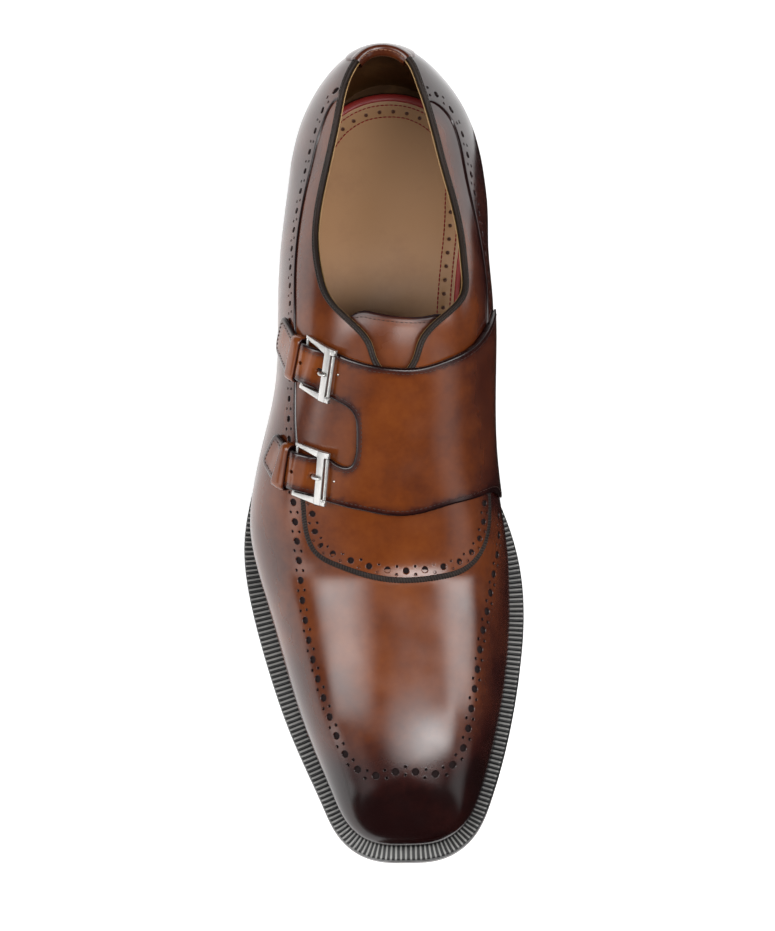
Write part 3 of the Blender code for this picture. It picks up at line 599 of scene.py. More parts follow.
def merge(parts):
    """Several (points, faces) as one."""
    points, faces, start = [], [], 0
    for some, rings in parts:
        points.append(np.asarray(some).reshape(-1, 3))
        faces += [[start + n for n in ring] for ring in rings]
        start += len(points[-1])
    return np.vstack(points), faces


def inside_loop(loop, points):
    """Which points lie inside a closed loop, by their first two coordinates."""
    x, y = loop[:, 0][None], loop[:, 1][None]
    x2, y2 = np.roll(x, -1, 1), np.roll(y, -1, 1)
    px, py = points[:, :1], points[:, 1:2]
    crossing = (y > py) != (y2 > py)
    at = x + (py - y) * (x2 - x) / np.where(y2 == y, 1, y2 - y)
    return (crossing & (px < at)).sum(1) % 2 == 1


def triangulate(points, edges):
    """The triangles between points, by their first two coordinates, with these edges kept."""
    found = delaunay_2d_cdt([Vector(p[:2]) for p in points], edges, [], 0, 1e-6)
    return np.array([origin[0] for origin in found[3]])[np.array(found[2])]


def sweep(path, out, aside, profile):
    """Points and faces of a closed profile carried along a path: profile rows are (aside, out) in mm."""
    profile = np.asarray(profile, float)
    points = path[:, None] + profile[None, :, :1] * aside[:, None] + profile[None, :, 1:] * out[:, None]
    faces = grid_faces(len(path), len(profile), False, True).tolist()
    end = (len(path) - 1) * len(profile)
    ends = [list(range(len(profile)))[::-1], [end + n for n in range(len(profile))]]
    return points.reshape(-1, 3), faces + ends


def frames_of(path, normals):
    """Unit tangents and the directions to the left of a path, seen from outside."""
    run = unit(np.gradient(path, axis=0))
    return run, unit(np.cross(normals, run))


def stitch_points(path, normals, pitch, length, radius, sunk=0.0):
    """Points and faces of a row of small thread stitches laid along a path."""
    centre = even(path, pitch)
    centre = (centre[1:] + centre[:-1]) / 2
    rows = [at_index(rows, centre)[:, None, None] for rows in (path, normals, *frames_of(path, normals))]
    place, normal, run, side = rows
    along, around = np.linspace(-1, 1, 5)[:, None, None], turns(6)[:, None]
    size = np.sqrt(1 - 0.85 * along**2) * radius
    arch = (1 - along**2) * radius * 0.9 - sunk
    points = (place + run * (along * length / 2) + unit(normal) * (arch + size * np.sin(around))
              + side * (size * np.cos(around)))
    count, caps = len(place), [[5, 4, 3, 2, 1, 0], [24, 25, 26, 27, 28, 29]]
    faces = copies(grid_faces(5, 6, False, True).tolist(), 30, count) + copies(caps, 30, count)
    return points.reshape(-1, 3), faces


# Materials

def shader_of(name):
    material = bpy.data.materials.new(name)
    material.use_nodes = True
    return material, material.node_tree, material.node_tree.nodes["Principled BSDF"]


def node(tree, kind, inputs=(), **settings):
    made = tree.nodes.new("ShaderNode" + kind)
    for key, value in settings.items():
        setattr(made, key, value)
    for key, value in dict(inputs).items():
        if isinstance(value, bpy.types.NodeSocket):
            tree.links.new(value, made.inputs[key])
        else:
            made.inputs[key].default_value = value
    return made


def noise(tree, scale, detail=2.0, roughness=0.5, stretch=None):
    """Noise in the object's own space, in cells per metre."""
    place = node(tree, "TexCoord").outputs["Object"]
    if stretch:
        place = node(tree, "Mapping", {"Vector": place, "Scale": stretch}).outputs["Vector"]
    return node(tree, "TexNoise", {"Vector": place, "Scale": scale, "Detail": detail,
                                   "Roughness": roughness}).outputs["Fac"]


def spread_of(tree, value, low, high, to_low, to_high):
    """A value mapped from one range to another, clamped."""
    return node(tree, "MapRange", {"Value": value, "From Min": low, "From Max": high, "To Min": to_low,
                                   "To Max": to_high}).outputs["Result"]


def ramp(tree, value, stops):
    made = node(tree, "ValToRGB", {"Fac": value})
    line = made.color_ramp
    while len(line.elements) < len(stops):
        line.elements.new(0.5)
    for element, (place, colour) in zip(line.elements, stops):
        element.position = place
        element.color = (*colour, 1.0)
    return made.outputs["Color"]


def bump(tree, shader, *layers):
    """Bumps in mm, each (height, depth), one on another."""
    normal = None
    for height, depth in layers:
        made = node(tree, "Bump", {"Height": height, "Distance": depth * MM})
        if normal:
            tree.links.new(normal, made.inputs["Normal"])
        normal = made.outputs["Normal"]
    tree.links.new(normal, shader.inputs["Normal"])


def make_leather(name, stops, rough, gloss, mottle, grain, coat=0.0):
    """Burnished leather: its colour goes by the tone attribute, made uneven by noise; in the lining, the
    welt and the gimped band the tone also carries painted shade or a painted highlight. A tone over 1 is
    the raw leather inside a hole, which has no polish."""
    material, tree, shader = shader_of(name)
    tone = node(tree, "Attribute", attribute_name="tone").outputs["Fac"]
    shift = spread_of(tree, noise(tree, 42, 4, 0.62), 0.3, 0.7, -mottle, mottle)
    small = spread_of(tree, noise(tree, 420, 3, 0.7), 0.3, 0.7, -0.03, 0.03)
    total = node(tree, "Math", {0: tone, 1: shift}, operation="ADD").outputs[0]
    total = node(tree, "Math", {0: total, 1: small}, operation="ADD", use_clamp=True).outputs[0]
    tree.links.new(ramp(tree, total, stops), shader.inputs["Base Color"])
    polish = spread_of(tree, noise(tree, 95, 3), 0.35, 0.65, *rough)
    raw = spread_of(tree, tone, 1.0, 2.0, 0.0, 0.85)
    tree.links.new(node(tree, "Math", {0: polish, 1: raw}, operation="ADD").outputs[0],
                   shader.inputs["Roughness"])
    shader.inputs["Specular IOR Level"].default_value = gloss
    shader.inputs["Coat Weight"].default_value = coat
    shader.inputs["Coat Roughness"].default_value = 0.16
    pores = node(tree, "TexVoronoi", {"Vector": node(tree, "TexCoord").outputs["Object"],
                                      "Scale": 1500}).outputs["Distance"]
    bump(tree, shader, (spread_of(tree, pores, 0.0, 0.6, 0.0, 1.0), grain * 0.2),
         (noise(tree, 260, 4, 0.6), grain * 0.45))
    return material


def make_thread(name, colour):
    material, tree, shader = shader_of(name)
    twist = noise(tree, 2600, 2)
    dark = tuple(c * 0.55 for c in colour)
    tree.links.new(ramp(tree, twist, ((0.35, dark), (0.65, colour))), shader.inputs["Base Color"])
    shader.inputs["Roughness"].default_value = 0.6
    bump(tree, shader, (twist, 0.06))
    return material


def make_steel():
    material, tree, shader = shader_of("polished_steel")
    wear = noise(tree, 900, 4, 0.6, stretch=(1.0, 0.25, 1.0))
    tree.links.new(ramp(tree, wear, ((0.3, (0.54, 0.53, 0.51)), (0.7, (0.62, 0.61, 0.595)))),
                   shader.inputs["Base Color"])
    tree.links.new(spread_of(tree, wear, 0.3, 0.7, 0.30, 0.40), shader.inputs["Roughness"])
    shader.inputs["Metallic"].default_value = 1.0
    bump(tree, shader, (wear, 0.002))
    return material


# Colours by tone, from bare to fully burnished. The lining's ramp runs from its own tan into painted
# shade; the welt's light grey is a painted highlight on the rib tops over its own black, and the gimped
# band's ramp gives a painted highlight on its rib tops and painted shade in its grooves
TAN = ((0.0, (0.18, 0.045, 0.008)), (0.25, (0.116, 0.026, 0.0048)), (0.5, (0.056, 0.0125, 0.0052)),
       (0.75, (0.022, 0.0040, 0.0030)), (1.0, (0.0075, 0.0011, 0.0011)))
LINING_INTO_PAINTED_SHADE = ((0.0, (0.40, 0.25, 0.115)), (0.35, (0.20, 0.10, 0.035)), (1.0, (0.055, 0.022, 0.005)))
SOCK = ((0.0, (0.48, 0.26, 0.125)), (0.6, (0.25, 0.11, 0.055)), (1.0, (0.10, 0.035, 0.018)))
EDGE = ((0.0, (0.030, 0.020, 0.015)), (0.5, (0.014, 0.010, 0.009)), (1.0, (0.006, 0.005, 0.005)))
GIMP_COLOUR_AND_RIB_SHADE = ((0.0, (0.030, 0.020, 0.016)), (0.5, (0.012, 0.008, 0.007)), (1.0, (0.004, 0.003, 0.003)))
BOUND = ((0.0, (0.024, 0.014, 0.010)), (1.0, (0.005, 0.004, 0.004)))
RED = ((0.0, (0.34, 0.022, 0.018)), (1.0, (0.16, 0.012, 0.010)))
WHEELED_AND_PAINTED_GLINT = ((0.0, (0.26, 0.255, 0.245)), (0.3, (0.13, 0.13, 0.125)), (0.6, (0.010, 0.010, 0.010)),
           (1.0, (0.004, 0.004, 0.004)))
SOLE_TAN = ((0.0, (0.22, 0.12, 0.06)), (0.45, (0.16, 0.085, 0.045)), (0.62, (0.012, 0.009, 0.008)),
            (1.0, (0.008, 0.007, 0.006)))
RUBBER = ((0.0, (0.030, 0.029, 0.028)), (1.0, (0.014, 0.013, 0.013)))

# name, colours, roughness range, gloss, mottle, grain in mm
leather = make_leather("burnished_leather", TAN, (0.17, 0.23), 0.5, 0.16, 0.02)
tongue_leather = make_leather("soft_calf", TAN, (0.26, 0.34), 0.36, 0.16, 0.03)
lining_leather = make_leather("lining_leather", LINING_INTO_PAINTED_SHADE, (0.5, 0.62), 0.2, 0.3, 0.03)
sock_leather = make_leather("sock_leather", SOCK, (0.42, 0.55), 0.5, 0.12, 0.025)
edge_leather = make_leather("waxed_edge", EDGE, (0.3, 0.42), 0.5, 0.3, 0.04, coat=0.25)
gimp_leather = make_leather("gimped_edge", GIMP_COLOUR_AND_RIB_SHADE, (0.6, 0.75), 0.2, 0.3, 0.05)
binding_leather = make_leather("binding_leather", BOUND, (0.45, 0.6), 0.2, 0.3, 0.07)
red_leather = make_leather("red_binding", RED, (0.45, 0.6), 0.5, 0.3, 0.04)
welt_leather = make_leather("welt_leather", WHEELED_AND_PAINTED_GLINT, (0.35, 0.5), 0.4, 0.12, 0.03)
sole_leather = make_leather("sole_leather", SOLE_TAN, (0.3, 0.45), 0.5, 0.12, 0.03, coat=0.2)
rubber = make_leather("heel_rubber", RUBBER, (0.6, 0.75), 0.5, 0.3, 0.05)
brown_thread = make_thread("brown_thread", (0.035, 0.014, 0.008))
black_thread = make_thread("black_thread", (0.035, 0.027, 0.022))
red_thread = make_thread("red_thread", (0.36, 0.014, 0.012))
pale_thread = make_thread("pale_thread", (0.30, 0.13, 0.07))
steel = make_steel()


# Seams and punched lines, as (station, girth)

SEAM = ((19.9, -19.6), (20.4, -21.6), (22.2, -23.9), (25.8, -26.6), (31.3, -29.2), (37.5, -31.6),
        (45, -33.6), (54, -36.2), (70.6, -40.0), (84.6, -42.2), (105, -44.2), (130, -43.4),
        (145.3, -40.8), (160, -37.6), (174.6, -35.2), (182.9, -34.0), (191.3, -30.1), (197.1, -20.4),
        (200.9, -9.5), (202.6, 2.9), (201.2, 16.8), (197.4, 27.6), (190.4, 35.6), (184.2, 39.6),
        (175.9, 42.6), (160, 44.4), (140, 45.2), (120, 45.6), (104, 45.8), (90, 45.6), (78, 44.5),
        (67.5, 42.8), (57, 41.4), (46, 40.9), (36, 39.9), (29.5, 38.0), (25.4, 34.4), (23.0, 30.2),
        (21.9, 26.8), (21.8, 24.0))
SEAM_U = ((168.0, -36.2), (166.0, 43.8))        # where the gimped stretch starts and ends
SEAM_FOXING = ((162.0, -37.2), (114.0, 45.7))   # where the lateral foxing ends and the medial one starts
APRON = ((163, -41.8), (172, -40.4), (188, -38.2), (202, -37.0), (216, -35.8), (232, -33.2),
         (246, -29.6), (259, -25.6), (270, -20.4), (277, -13.6), (278.6, -7.0), (278.4, 0.0),
         (277.9, 6.5), (276.2, 14.0), (267, 22.4), (253, 27.2), (239, 31.0), (223, 34.9), (209, 39.4),
         (190, 46.8), (168, 54.4))
HOLE_PITCH = 7.5
STRIP_START = 0.4       # how far from the line's ends at the topline the foxing's strips start

last = Last(SKIN_SIDES, SKIN_ROWS)
seam = Line(last, SEAM)
apron = Line(last, APRON)


def along_of(line, place):
    return float(line.measure(last.place(*place)[0][None])[0][0])


u_start, u_end = (along_of(seam, place) for place in SEAM_U)
fox_end, fox_start = (along_of(seam, place) for place in SEAM_FOXING)
strip_end = seam.length - STRIP_START


# How burnished the leather is, over the whole lasted shape

def burnish():
    """0 is the bare tan of the instep, 1 the near-black of the toe and the foxing."""
    points = last.grid.reshape(-1, 3)
    station = TREAD_CENTRE - points[:, 1]
    girth = last.girth.reshape(-1)
    medial = np.repeat(last.side > 0.5, last.grid.shape[1])
    inside = seam.measure(points)[1]
    above = apron.measure(points)[1]
    low = points[:, 2] - feather_height(station)
    vamp = smoothstep(166, 180, station)
    beyond = smoothstep(0.8, -1.2, inside) * smoothstep(178, 150, station)
    tone = 0.20 + 0.10 * smoothstep(12, 30, girth)
    tone += 0.16 * smoothstep(222, 262, station) + 0.52 * smoothstep(256, 286, station)
    tone += vamp * np.where(medial, 0.24, 0.12) * smoothstep(2, -12, above)
    tone += medial * 0.14 * smoothstep(20, 50, girth)
    edge = np.where(medial, 0.34, 0.04) * smoothstep(12, 0, inside)
    tone += (1 - vamp) * (edge + 0.10 * smoothstep(60, 20, station))
    foxing = np.where(medial, 0.66, 0.40) + 0.14 * smoothstep(100, 40, station)
    tone = tone * (1 - beyond) + beyond * foxing
    return np.clip(tone + 0.15 * smoothstep(9, 0, low), 0, 1)


last.tone = burnish()


# The upper's skins

def trimmed(values, top, rows):
    """Every column of a grid cut off at its share of the way up."""
    place = np.linspace(0, 1, rows)[None] * top[:, None] * (values.shape[1] - 1)
    low = np.minimum(place.astype(int), values.shape[1] - 2)
    blend = (place - low)[..., None]
    index = np.arange(len(values))[:, None]
    return values[index, low] * (1 - blend) + values[index, low + 1] * blend


def topline():
    """The share of each column, from feather line to crown, that the upper covers."""
    top = by_side(TOPLINE, "", last.station, last.side)
    return np.where(last.station >= TOPLINE[-1][0], 1.0, np.clip(top, 0, 1))


top_share = topline()
tones = last.tone.reshape(*last.grid.shape[:2], 1)
skin = trimmed(np.concatenate([last.grid, last.normal, tones], 2), top_share, SKIN_ROWS)
skin[..., 3:6] = unit(skin[..., 3:6])


def covered(points):
    """Which points lie well under a punched strip, so that the skin there is left out."""
    along, aside = seam.measure(points)

    def within(value, low, high):
        return (value > low) & (value < high)

    laid = within(along, STRIP_START + 1, fox_end - 1) | within(along, fox_start + 1, strip_end - 1)
    outside = within(aside, -7.4, -1.0) & laid
    inside = within(aside, 1.6, 6.6) & within(along, u_start + 1, u_end - 1)
    along, aside = apron.measure(points)
    return outside | inside | (within(aside, -2.9, 2.9) & within(along, 1, apron.length - 1))


def make_skin():
    count, rows = skin.shape[:2]
    tucked = skin[:, :1].copy()
    tucked[..., :3] += -0.5 * tucked[..., 3:6] - [0, 0, 0.7]
    grid = np.concatenate([tucked, skin], 1)
    points = grid[..., :3].reshape(-1, 3)
    faces = grid_faces(count, rows + 1, wrap_rows=True)
    hidden = covered(points)
    faces = faces[~hidden[faces].all(1)]
    piece = add_piece("upper_skin", points, faces, leather, "upper_leather", tone=grid[..., 6].reshape(-1),
                      normals=grid[..., 3:6].reshape(-1, 3))
    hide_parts("upper")


LINING_FOLD = ((0.05, -1.95), (0.28, -1.75), (0.3, -1.4), (0.0, -1.1))      # (up, out) from the top edge


def make_lining():
    """The lining: a floor under the sock's edge, the wall, and a narrow fold inside the binding. Its tone
    is painted shade, darker deeper inside the shoe.
    """
    inner = skin[:, ::2, :3] - WALL * skin[:, ::2, 3:6]
    inner[..., 2] = np.maximum(inner[..., 2], sock_height(TREAD_CENTRE - inner[..., 1]) - 1.5)
    start = inner[:, :1].copy()
    start[:, 0, :2] += inwards(last.feather) * [1, -1] * 9.0
    start[..., 2] = sock_height(TREAD_CENTRE - start[..., 1]) - 1.5
    rise = skin[:, -1, :3] - skin[:, -3, :3]
    rise /= np.maximum(np.linalg.norm(rise, axis=1, keepdims=True), 1e-6)
    rise *= (top_share < 1)[:, None]
    fold = [skin[:, -1, :3] + up * rise + (out if up else -WALL) * skin[:, -1, 3:6]
            for up, out in LINING_FOLD]
    grid = np.concatenate([start, inner] + [row[:, None] for row in fold], 1)
    count, rows = grid.shape[:2]
    faces = grid_faces(count, rows, wrap_rows=True)[:, ::-1]
    # Painted shade: the lining darkens with its depth below the top edge, from its own tan near the top.
    depth = smoothstep(0, 26, np.linalg.norm(grid - inner[:, -1:], axis=2)).reshape(-1)
    add_piece("lining", grid.reshape(-1, 3), faces, lining_leather, "sock_leather", tone=depth)


# Punched strips

def punched_cell(pitch, rows, holes, columns=7):
    """One repeat of a punched strip: points as (along, aside, depth, kind), and faces with the holes
    walled and floored. Kinds: 0 flat, 1 on a hole's rim, 2 inside it."""
    flat = [(pitch * i / columns, v, 0.0, 0) for i in range(columns + 1) for v in rows
            if i in (0, columns) or v in (rows[0], rows[-1])
            or all(np.hypot(pitch * i / columns - u, v - w) > r + 0.62 for u, w, r, _ in holes)]
    edges, walls, inner = [], [], []
    for u, w, r, sides in holes:
        for reach, depth, kind in ((r + 0.42, 0.0, 0), (r + 0.2, -0.5, 1), (r, 0.06, 1), (r - 0.02, 0.3, 2),
                                   (r - 0.08, 0.8, 2), (r - 0.08, 0.8, 2)):
            start = len(flat)
            if kind < 2:
                edges += [(start + i, start + (i + 1) % sides) for i in range(sides)]
            else:
                inner += range(start, start + sides)
            flat += [(u + reach * np.cos(t), w + reach * np.sin(t), depth, kind) for t in turns(sides)]
        walls += ring_quads(start - 3 * sides, start - 2 * sides, sides)
        walls += ring_quads(start - 2 * sides, start - sides, sides) + [list(range(start, start + sides))]
    flat = np.array(flat)
    keep = np.ones(len(flat), bool)
    keep[inner] = False
    index, where = np.flatnonzero(keep), np.cumsum(keep) - 1
    triangles = index[triangulate(flat[index], where[edges].tolist())]
    middle = flat[triangles].mean(1)
    solid = np.all([np.hypot(middle[:, 0] - u, middle[:, 1] - w) >= r * 0.97 for u, w, r, _ in holes],
                   axis=0)
    return flat, triangles[solid].tolist() + walls


def make_strip(name, line, start, end, rows, heights, middle, big, small, toe_rim=0.0, edge_burnish_and_shade=0.0):
    """A strip punched with big holes and pairs of small ones. heights: lift over the surface at each
    row. toe_rim: how much more the ring round a hole stands up at the toe. The last argument darkens
    the edge, partly as burnish and partly as painted shade on the raised edge."""
    count = max(1, int(round((end - start) / HOLE_PITCH)))
    pitch = (end - start) / count
    holes = [(0.3 * pitch, middle, big, 18), (0.8 * pitch, middle - SMALL_APART, small, 10),
             (0.8 * pitch, middle + SMALL_APART, small, 10)]
    flat, faces = punched_cell(pitch, rows, holes)
    along = (start + pitch * np.arange(count)[:, None] + flat[None, :, 0]).reshape(-1)
    aside, depth, kind = (np.tile(flat[:, n], count) for n in (1, 2, 3))
    base, normal, tone = line.spread(along, aside)
    stand = RIM + toe_rim * smoothstep(205, 250, TREAD_CENTRE - base[:, 1])
    lift = np.interp(aside, rows, heights) - np.where(depth < 0, -stand, depth)
    # The edge is darkened partly as burnish and partly as painted shade on the raised edge.
    tone = np.clip(tone + 0.10 * (kind == 1) + edge_burnish_and_shade * smoothstep(-1.1, -0.3, aside), 0, 1)
    piece = add_piece(name, base + lift[:, None] * normal, copies(faces, len(flat), count), leather,
                      "upper_leather", tone=np.where(kind == 2, 2.0, tone))
    slope = np.gradient(np.array(heights), np.array(rows))
    own = (kind == 0) & (abs(np.interp(aside, rows, slope)) < 0.25)
    shown = np.array([v.normal for v in piece.data.vertices])
    shown[own] = normal[own]
    piece.data.normals_split_custom_set_from_vertices(shown.tolist())


EDGE_ROWS = (-8.0, -7.1, -6.1, -5.1, -4.2, -3.3, -2.3, -1.5, -0.9, -0.45, -0.12, 0.0)
EDGE_HEIGHTS = (0.03, 0.05, 0.12, 0.22, 0.33, 0.44, 0.54, 0.60, 0.62, 0.58, 0.40, -0.05)
PLAIN_ROWS = (-3.7, -2.8, -1.9, -1.0, 0.0, 1.0, 1.9, 2.8, 3.7)
FACING_ROWS = (0.6, 1.2, 1.9, 2.7, 3.6, 4.5, 5.4, 6.3, 7.3)
FACING_HEIGHTS = (0.35, 0.5, 0.48, 0.40, 0.30, 0.20, 0.11, 0.05, 0.03)


def make_strips():
    for side, start, end in (("lateral", STRIP_START, fox_end), ("medial", fox_start, strip_end)):
        make_strip("foxing_" + side, seam, start, end, EDGE_ROWS, EDGE_HEIGHTS, *FOXING_HOLES, edge_burnish_and_shade=0.8)
    make_strip("vamp_punching", apron, 0.0, apron.length, PLAIN_ROWS, [0.03] * 9, *VAMP_HOLES,
               toe_rim=TOE_RIM)
    make_strip("facing_punching", seam, u_start, u_end, FACING_ROWS, FACING_HEIGHTS, *FACING_HOLES)


GIMP_PITCH = 1.05       # of its ribs and its teeth
GIMP_HALF = 1.25        # half its width


def make_gimp():
    """The dark pinked band along the facing's edge, with fine slanted ribs."""
    along = np.arange(u_start - 1.0, u_end + 1.0, 0.2)
    across = np.linspace(-1, 1, 9)
    u, v = np.meshgrid(along, across, indexing="ij")
    rib = np.sin(2 * np.pi * (u / GIMP_PITCH + 0.30 * v))
    teeth = 0.14 * np.sin(2 * np.pi * u / GIMP_PITCH)
    aside = GIMP_HALF * v - np.where(v < -0.7, teeth, 0.0)
    height = 0.10 + 0.72 * np.sqrt(np.clip(1 - v**2, 0, 1)) ** 0.8 * (1 + 0.22 * rib)
    height[:, [0, -1]] = -0.15
    points, _, _ = seam.spread(u.reshape(-1), aside.reshape(-1), height.reshape(-1))
    faces = grid_faces(len(along), len(across))
    # Painted highlight and shade: the tone is lighter on the rib tops and darker in the grooves.
    add_piece("gimped_band", points, faces, gimp_leather, "upper_leather",
              tone=(0.35 - 0.35 * rib).reshape(-1))


# Binding round the opening, heel tab

def topline_path(step=0.8):
    """The skin's top edge from the lateral side of the throat, round the heel, to the medial side:
    points, outward normals and directions up the surface."""
    count = len(last.along) - 1
    throat = int(np.argmax(last.along >= TOPLINE[-1][0]))
    order = np.r_[np.arange(throat, 0, -1), (-np.arange(0, throat + 1)) % (2 * count)]
    edge, normal = skin[order, -1, :3], skin[order, -1, 3:6]
    index = even(edge, step)
    edge, normal = at_index(edge, index), unit(at_index(normal, index))
    return edge, normal, -frames_of(edge, normal)[1]


# Sections as (up, out) in mm from the skin's top edge
BINDING = ((-1.75, -0.1), (-1.70, 0.34), (-1.42, 0.60), (-1.1, 0.54), (-0.85, 0.30), (-0.6, 0.54),
           (-0.25, 0.74), (0.1, 0.66), (0.36, 0.34), (0.45, -0.15), (0.36, -0.75), (0.0, -1.15),
           (-0.6, -1.25), (-1.3, -1.1), (-1.6, -0.7))
BINDING_GROOVE = (-0.85, 0.36)
TAB_FOLD = ((-0.45, 1.02), (0.1, 0.98), (0.5, 0.7), (0.78, 0.1), (0.86, -0.8), (0.8, -1.9), (0.6, -2.8),
            (0.0, -3.5), (-1.0, -3.7), (-2.5, -3.5), (-4.5, -3.0), (-6.0, -2.6))
TAB_LINE = (0.93, -0.6)
TAB_HALF = 11.5         # heel tab, to each side of the back seam
TAB_DOWN = 15.0


def make_binding():
    edge, normal, up = topline_path()
    points, faces = sweep(edge, normal, up, BINDING)
    add_piece("topline_binding", points, faces, binding_leather, "upper_leather", tone=0.35, solid=True)
    groove = edge + BINDING_GROOVE[0] * up + BINDING_GROOVE[1] * normal
    add_piece("topline_stitches", *stitch_points(groove, normal, *BINDING_SEWING), black_thread,
              "upper_leather")


def make_heel_tab():
    """A small patch folded over the top of the back seam."""
    edge, normal, up = topline_path()
    arc = arc_of(edge)
    arc -= arc[int(np.argmax(edge[:, 1]))]
    across = np.linspace(-1, 1, 41)
    hem = 0.9 * (abs(across) > 0.99)

    def read_at(place):
        return [between(place, arc, rows) for rows in (edge, normal, up)]

    rows = []
    for down in np.linspace(TAB_DOWN, 1.0, 20):
        narrow = np.sqrt(max(1 - (max(down - 3.0, 0) / (TAB_DOWN - 3.0)) ** 2.2, 0.0004))
        base, _, rise = read_at(across * TAB_HALF * narrow)
        ground, out, _ = last.drop(base - down * rise)
        lift = 0.5 + 0.5 * smoothstep(3.4, 1.8, down)
        rows.append(ground + (lift - np.maximum(0.5 * hem, 0.45 * (down == TAB_DOWN)))[:, None] * out)
    base, out, rise = read_at(across * TAB_HALF)
    for a, o in TAB_FOLD:
        rows.append(base + a * rise + (o - 0.3 * hem)[:, None] * out)
    points = np.stack(rows, 1)
    faces = grid_faces(*points.shape[:2])[:, ::-1]
    add_piece("heel_tab", points.reshape(-1, 3), faces, leather, "upper_leather", tone=0.5)
    line = (base + TAB_LINE[0] * rise + TAB_LINE[1] * out)[2:-2]
    add_piece("heel_tab_stitches", *stitch_points(line, rise[2:-2], *TAB_SEWING), pale_thread,
              "upper_leather")


# Sock and tongue

SOCK_PIPING = 1.5       # half the width of the red edge
SOCK_STITCHES = (4.4, 9.1)
SOCK_HOLES = 6.9
SOCK_HOLE = 0.72        # the holes' radius
SOCK_PITCH = 5.25
SOCK_CLIMB = 3.5        # where the wall is met, over the sock
SOCK_ARC = (-0.5, 40.7, 32.7)   # the arc of the sock's back end: x, station and radius
SOCK_HIDDEN = 9.5       # how far the border lies past the lateral wall


def sock_height(station):
    return feather_height(station) + INSOLE_PROUD + 0.5


def wall_loop():
    """The inside of the upper in plan just over the sock, as (x, station), evenly spaced."""
    wall = last.grid - WALL * last.normal
    found = []
    for column, station in zip(wall, last.station):
        height = min(sock_height(station) + SOCK_CLIMB, column[:40, 2].max())
        found.append([np.interp(height, column[:40, 2], column[:40, axis]) for axis in (0, 1)])
    loop = np.array(found) * [1, -1] + [0, TREAD_CENTRE]
    loop = np.vstack([loop, loop[:1]])
    arc = arc_of(loop)
    return between(np.linspace(0, arc[-1], 261), arc, loop)[:-1]


plan_loop = wall_loop()


def border_start():
    """How far in from the wall the sock's border starts: less than 0 where the wall hides its edge."""
    x, station = plan_loop.T
    to_arc = np.hypot(x - SOCK_ARC[0], np.minimum(station - SOCK_ARC[1], 0)) - SOCK_ARC[2]
    lateral = to_arc * (1 - smoothstep(25, 50, station)) - SOCK_HIDDEN * smoothstep(25, 50, station)
    return np.where(x < 0, lateral, to_arc * (1 - smoothstep(32, 52, station)))


border = border_start()


def sock_loop(inset):
    """The sock's plan outline drawn in by the inset, as (x, station), kept inside the wall."""
    return plan_loop + inwards(plan_loop) * (0.3 + np.maximum(border + inset, 0.15 * inset))[:, None]


def in_sight(inset, least):
    """The stretches of that outline which lie clear of the wall, as indexes in order."""
    seen = border + inset > least
    if seen.all():
        return [np.r_[np.arange(len(seen)), 0]]
    turned = np.roll(np.arange(len(seen)), -int(np.argmin(seen)))
    cuts = np.flatnonzero(np.diff(seen[turned].astype(int))) + 1
    return [part for part in np.split(turned, cuts) if seen[part[0]] and len(part) > 4]


def sock_points(loop, lift=0.0):
    return to_world(np.column_stack([loop, sock_height(loop[:, 1]) + lift]))


def cupped(inset):
    """How far the sock's margin curls up towards the wall."""
    return 0.8 * smoothstep(6.0, 0.0, inset) ** 2


def make_sock():
    """The padded sock: a plate with a border of punched holes between two rows of stitches."""
    rings = [sock_points(sock_loop(inset), cupped(inset)) for inset in (0.2, 1.4, 2.6, 3.8, 5.0, 7.2, 9.8)]
    hole_line = sock_points(sock_loop(SOCK_HOLES))
    centres = np.vstack([evened(hole_line[part], SOCK_PITCH)[1:-1] for part in in_sight(SOCK_HOLES, 1.2)])

    def from_holes(points):
        return np.linalg.norm(points[:, None, :2] - centres[None, :, :2], axis=2).min(1)

    margin = np.vstack(rings)
    flat = [margin[from_holes(margin) > 1.25]]
    rims = len(flat[0]) + 10 + 20 * np.arange(len(centres))
    circle = np.column_stack([np.cos(turns(10)), np.sin(turns(10)), np.zeros(10)])
    for centre in centres:
        flat += [centre + (SOCK_HOLE + 0.25) * circle, centre + SOCK_HOLE * circle - [0, 0, 0.06]]
    half = len(rings[-1]) // 2
    left, right = rings[-1][1:half], rings[-1][:half:-1]
    flat += [(left * (1 - share) + right * share)[::2] for share in np.linspace(0, 1, 12)[1:-1]]
    flat = np.vstack(flat)
    rim_edges = [(int(rim) + i, int(rim) + (i + 1) % 10) for rim in rims for i in range(10)]
    triangles = triangulate(flat, rim_edges)
    middle = flat[triangles].mean(1)
    faces = triangles[(from_holes(middle) >= 0.68) & inside_loop(rings[0], middle)].tolist()
    tone = np.r_[np.zeros(len(flat)), np.ones(10 * len(rims))]
    floors = [flat[rim:rim + 10] - [0, 0, 1.0] for rim in rims]
    for n, rim in enumerate(rims):
        floor = len(flat) + 10 * n
        faces += ring_quads(rim, floor, 10) + [list(range(floor, floor + 10))]
        tone[rim:rim + 10] = 0.6
    piece = add_piece("sock", np.vstack([flat] + floors), faces, sock_leather, "sock_leather", tone=tone,
                      sharp=50)
    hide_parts("insole")


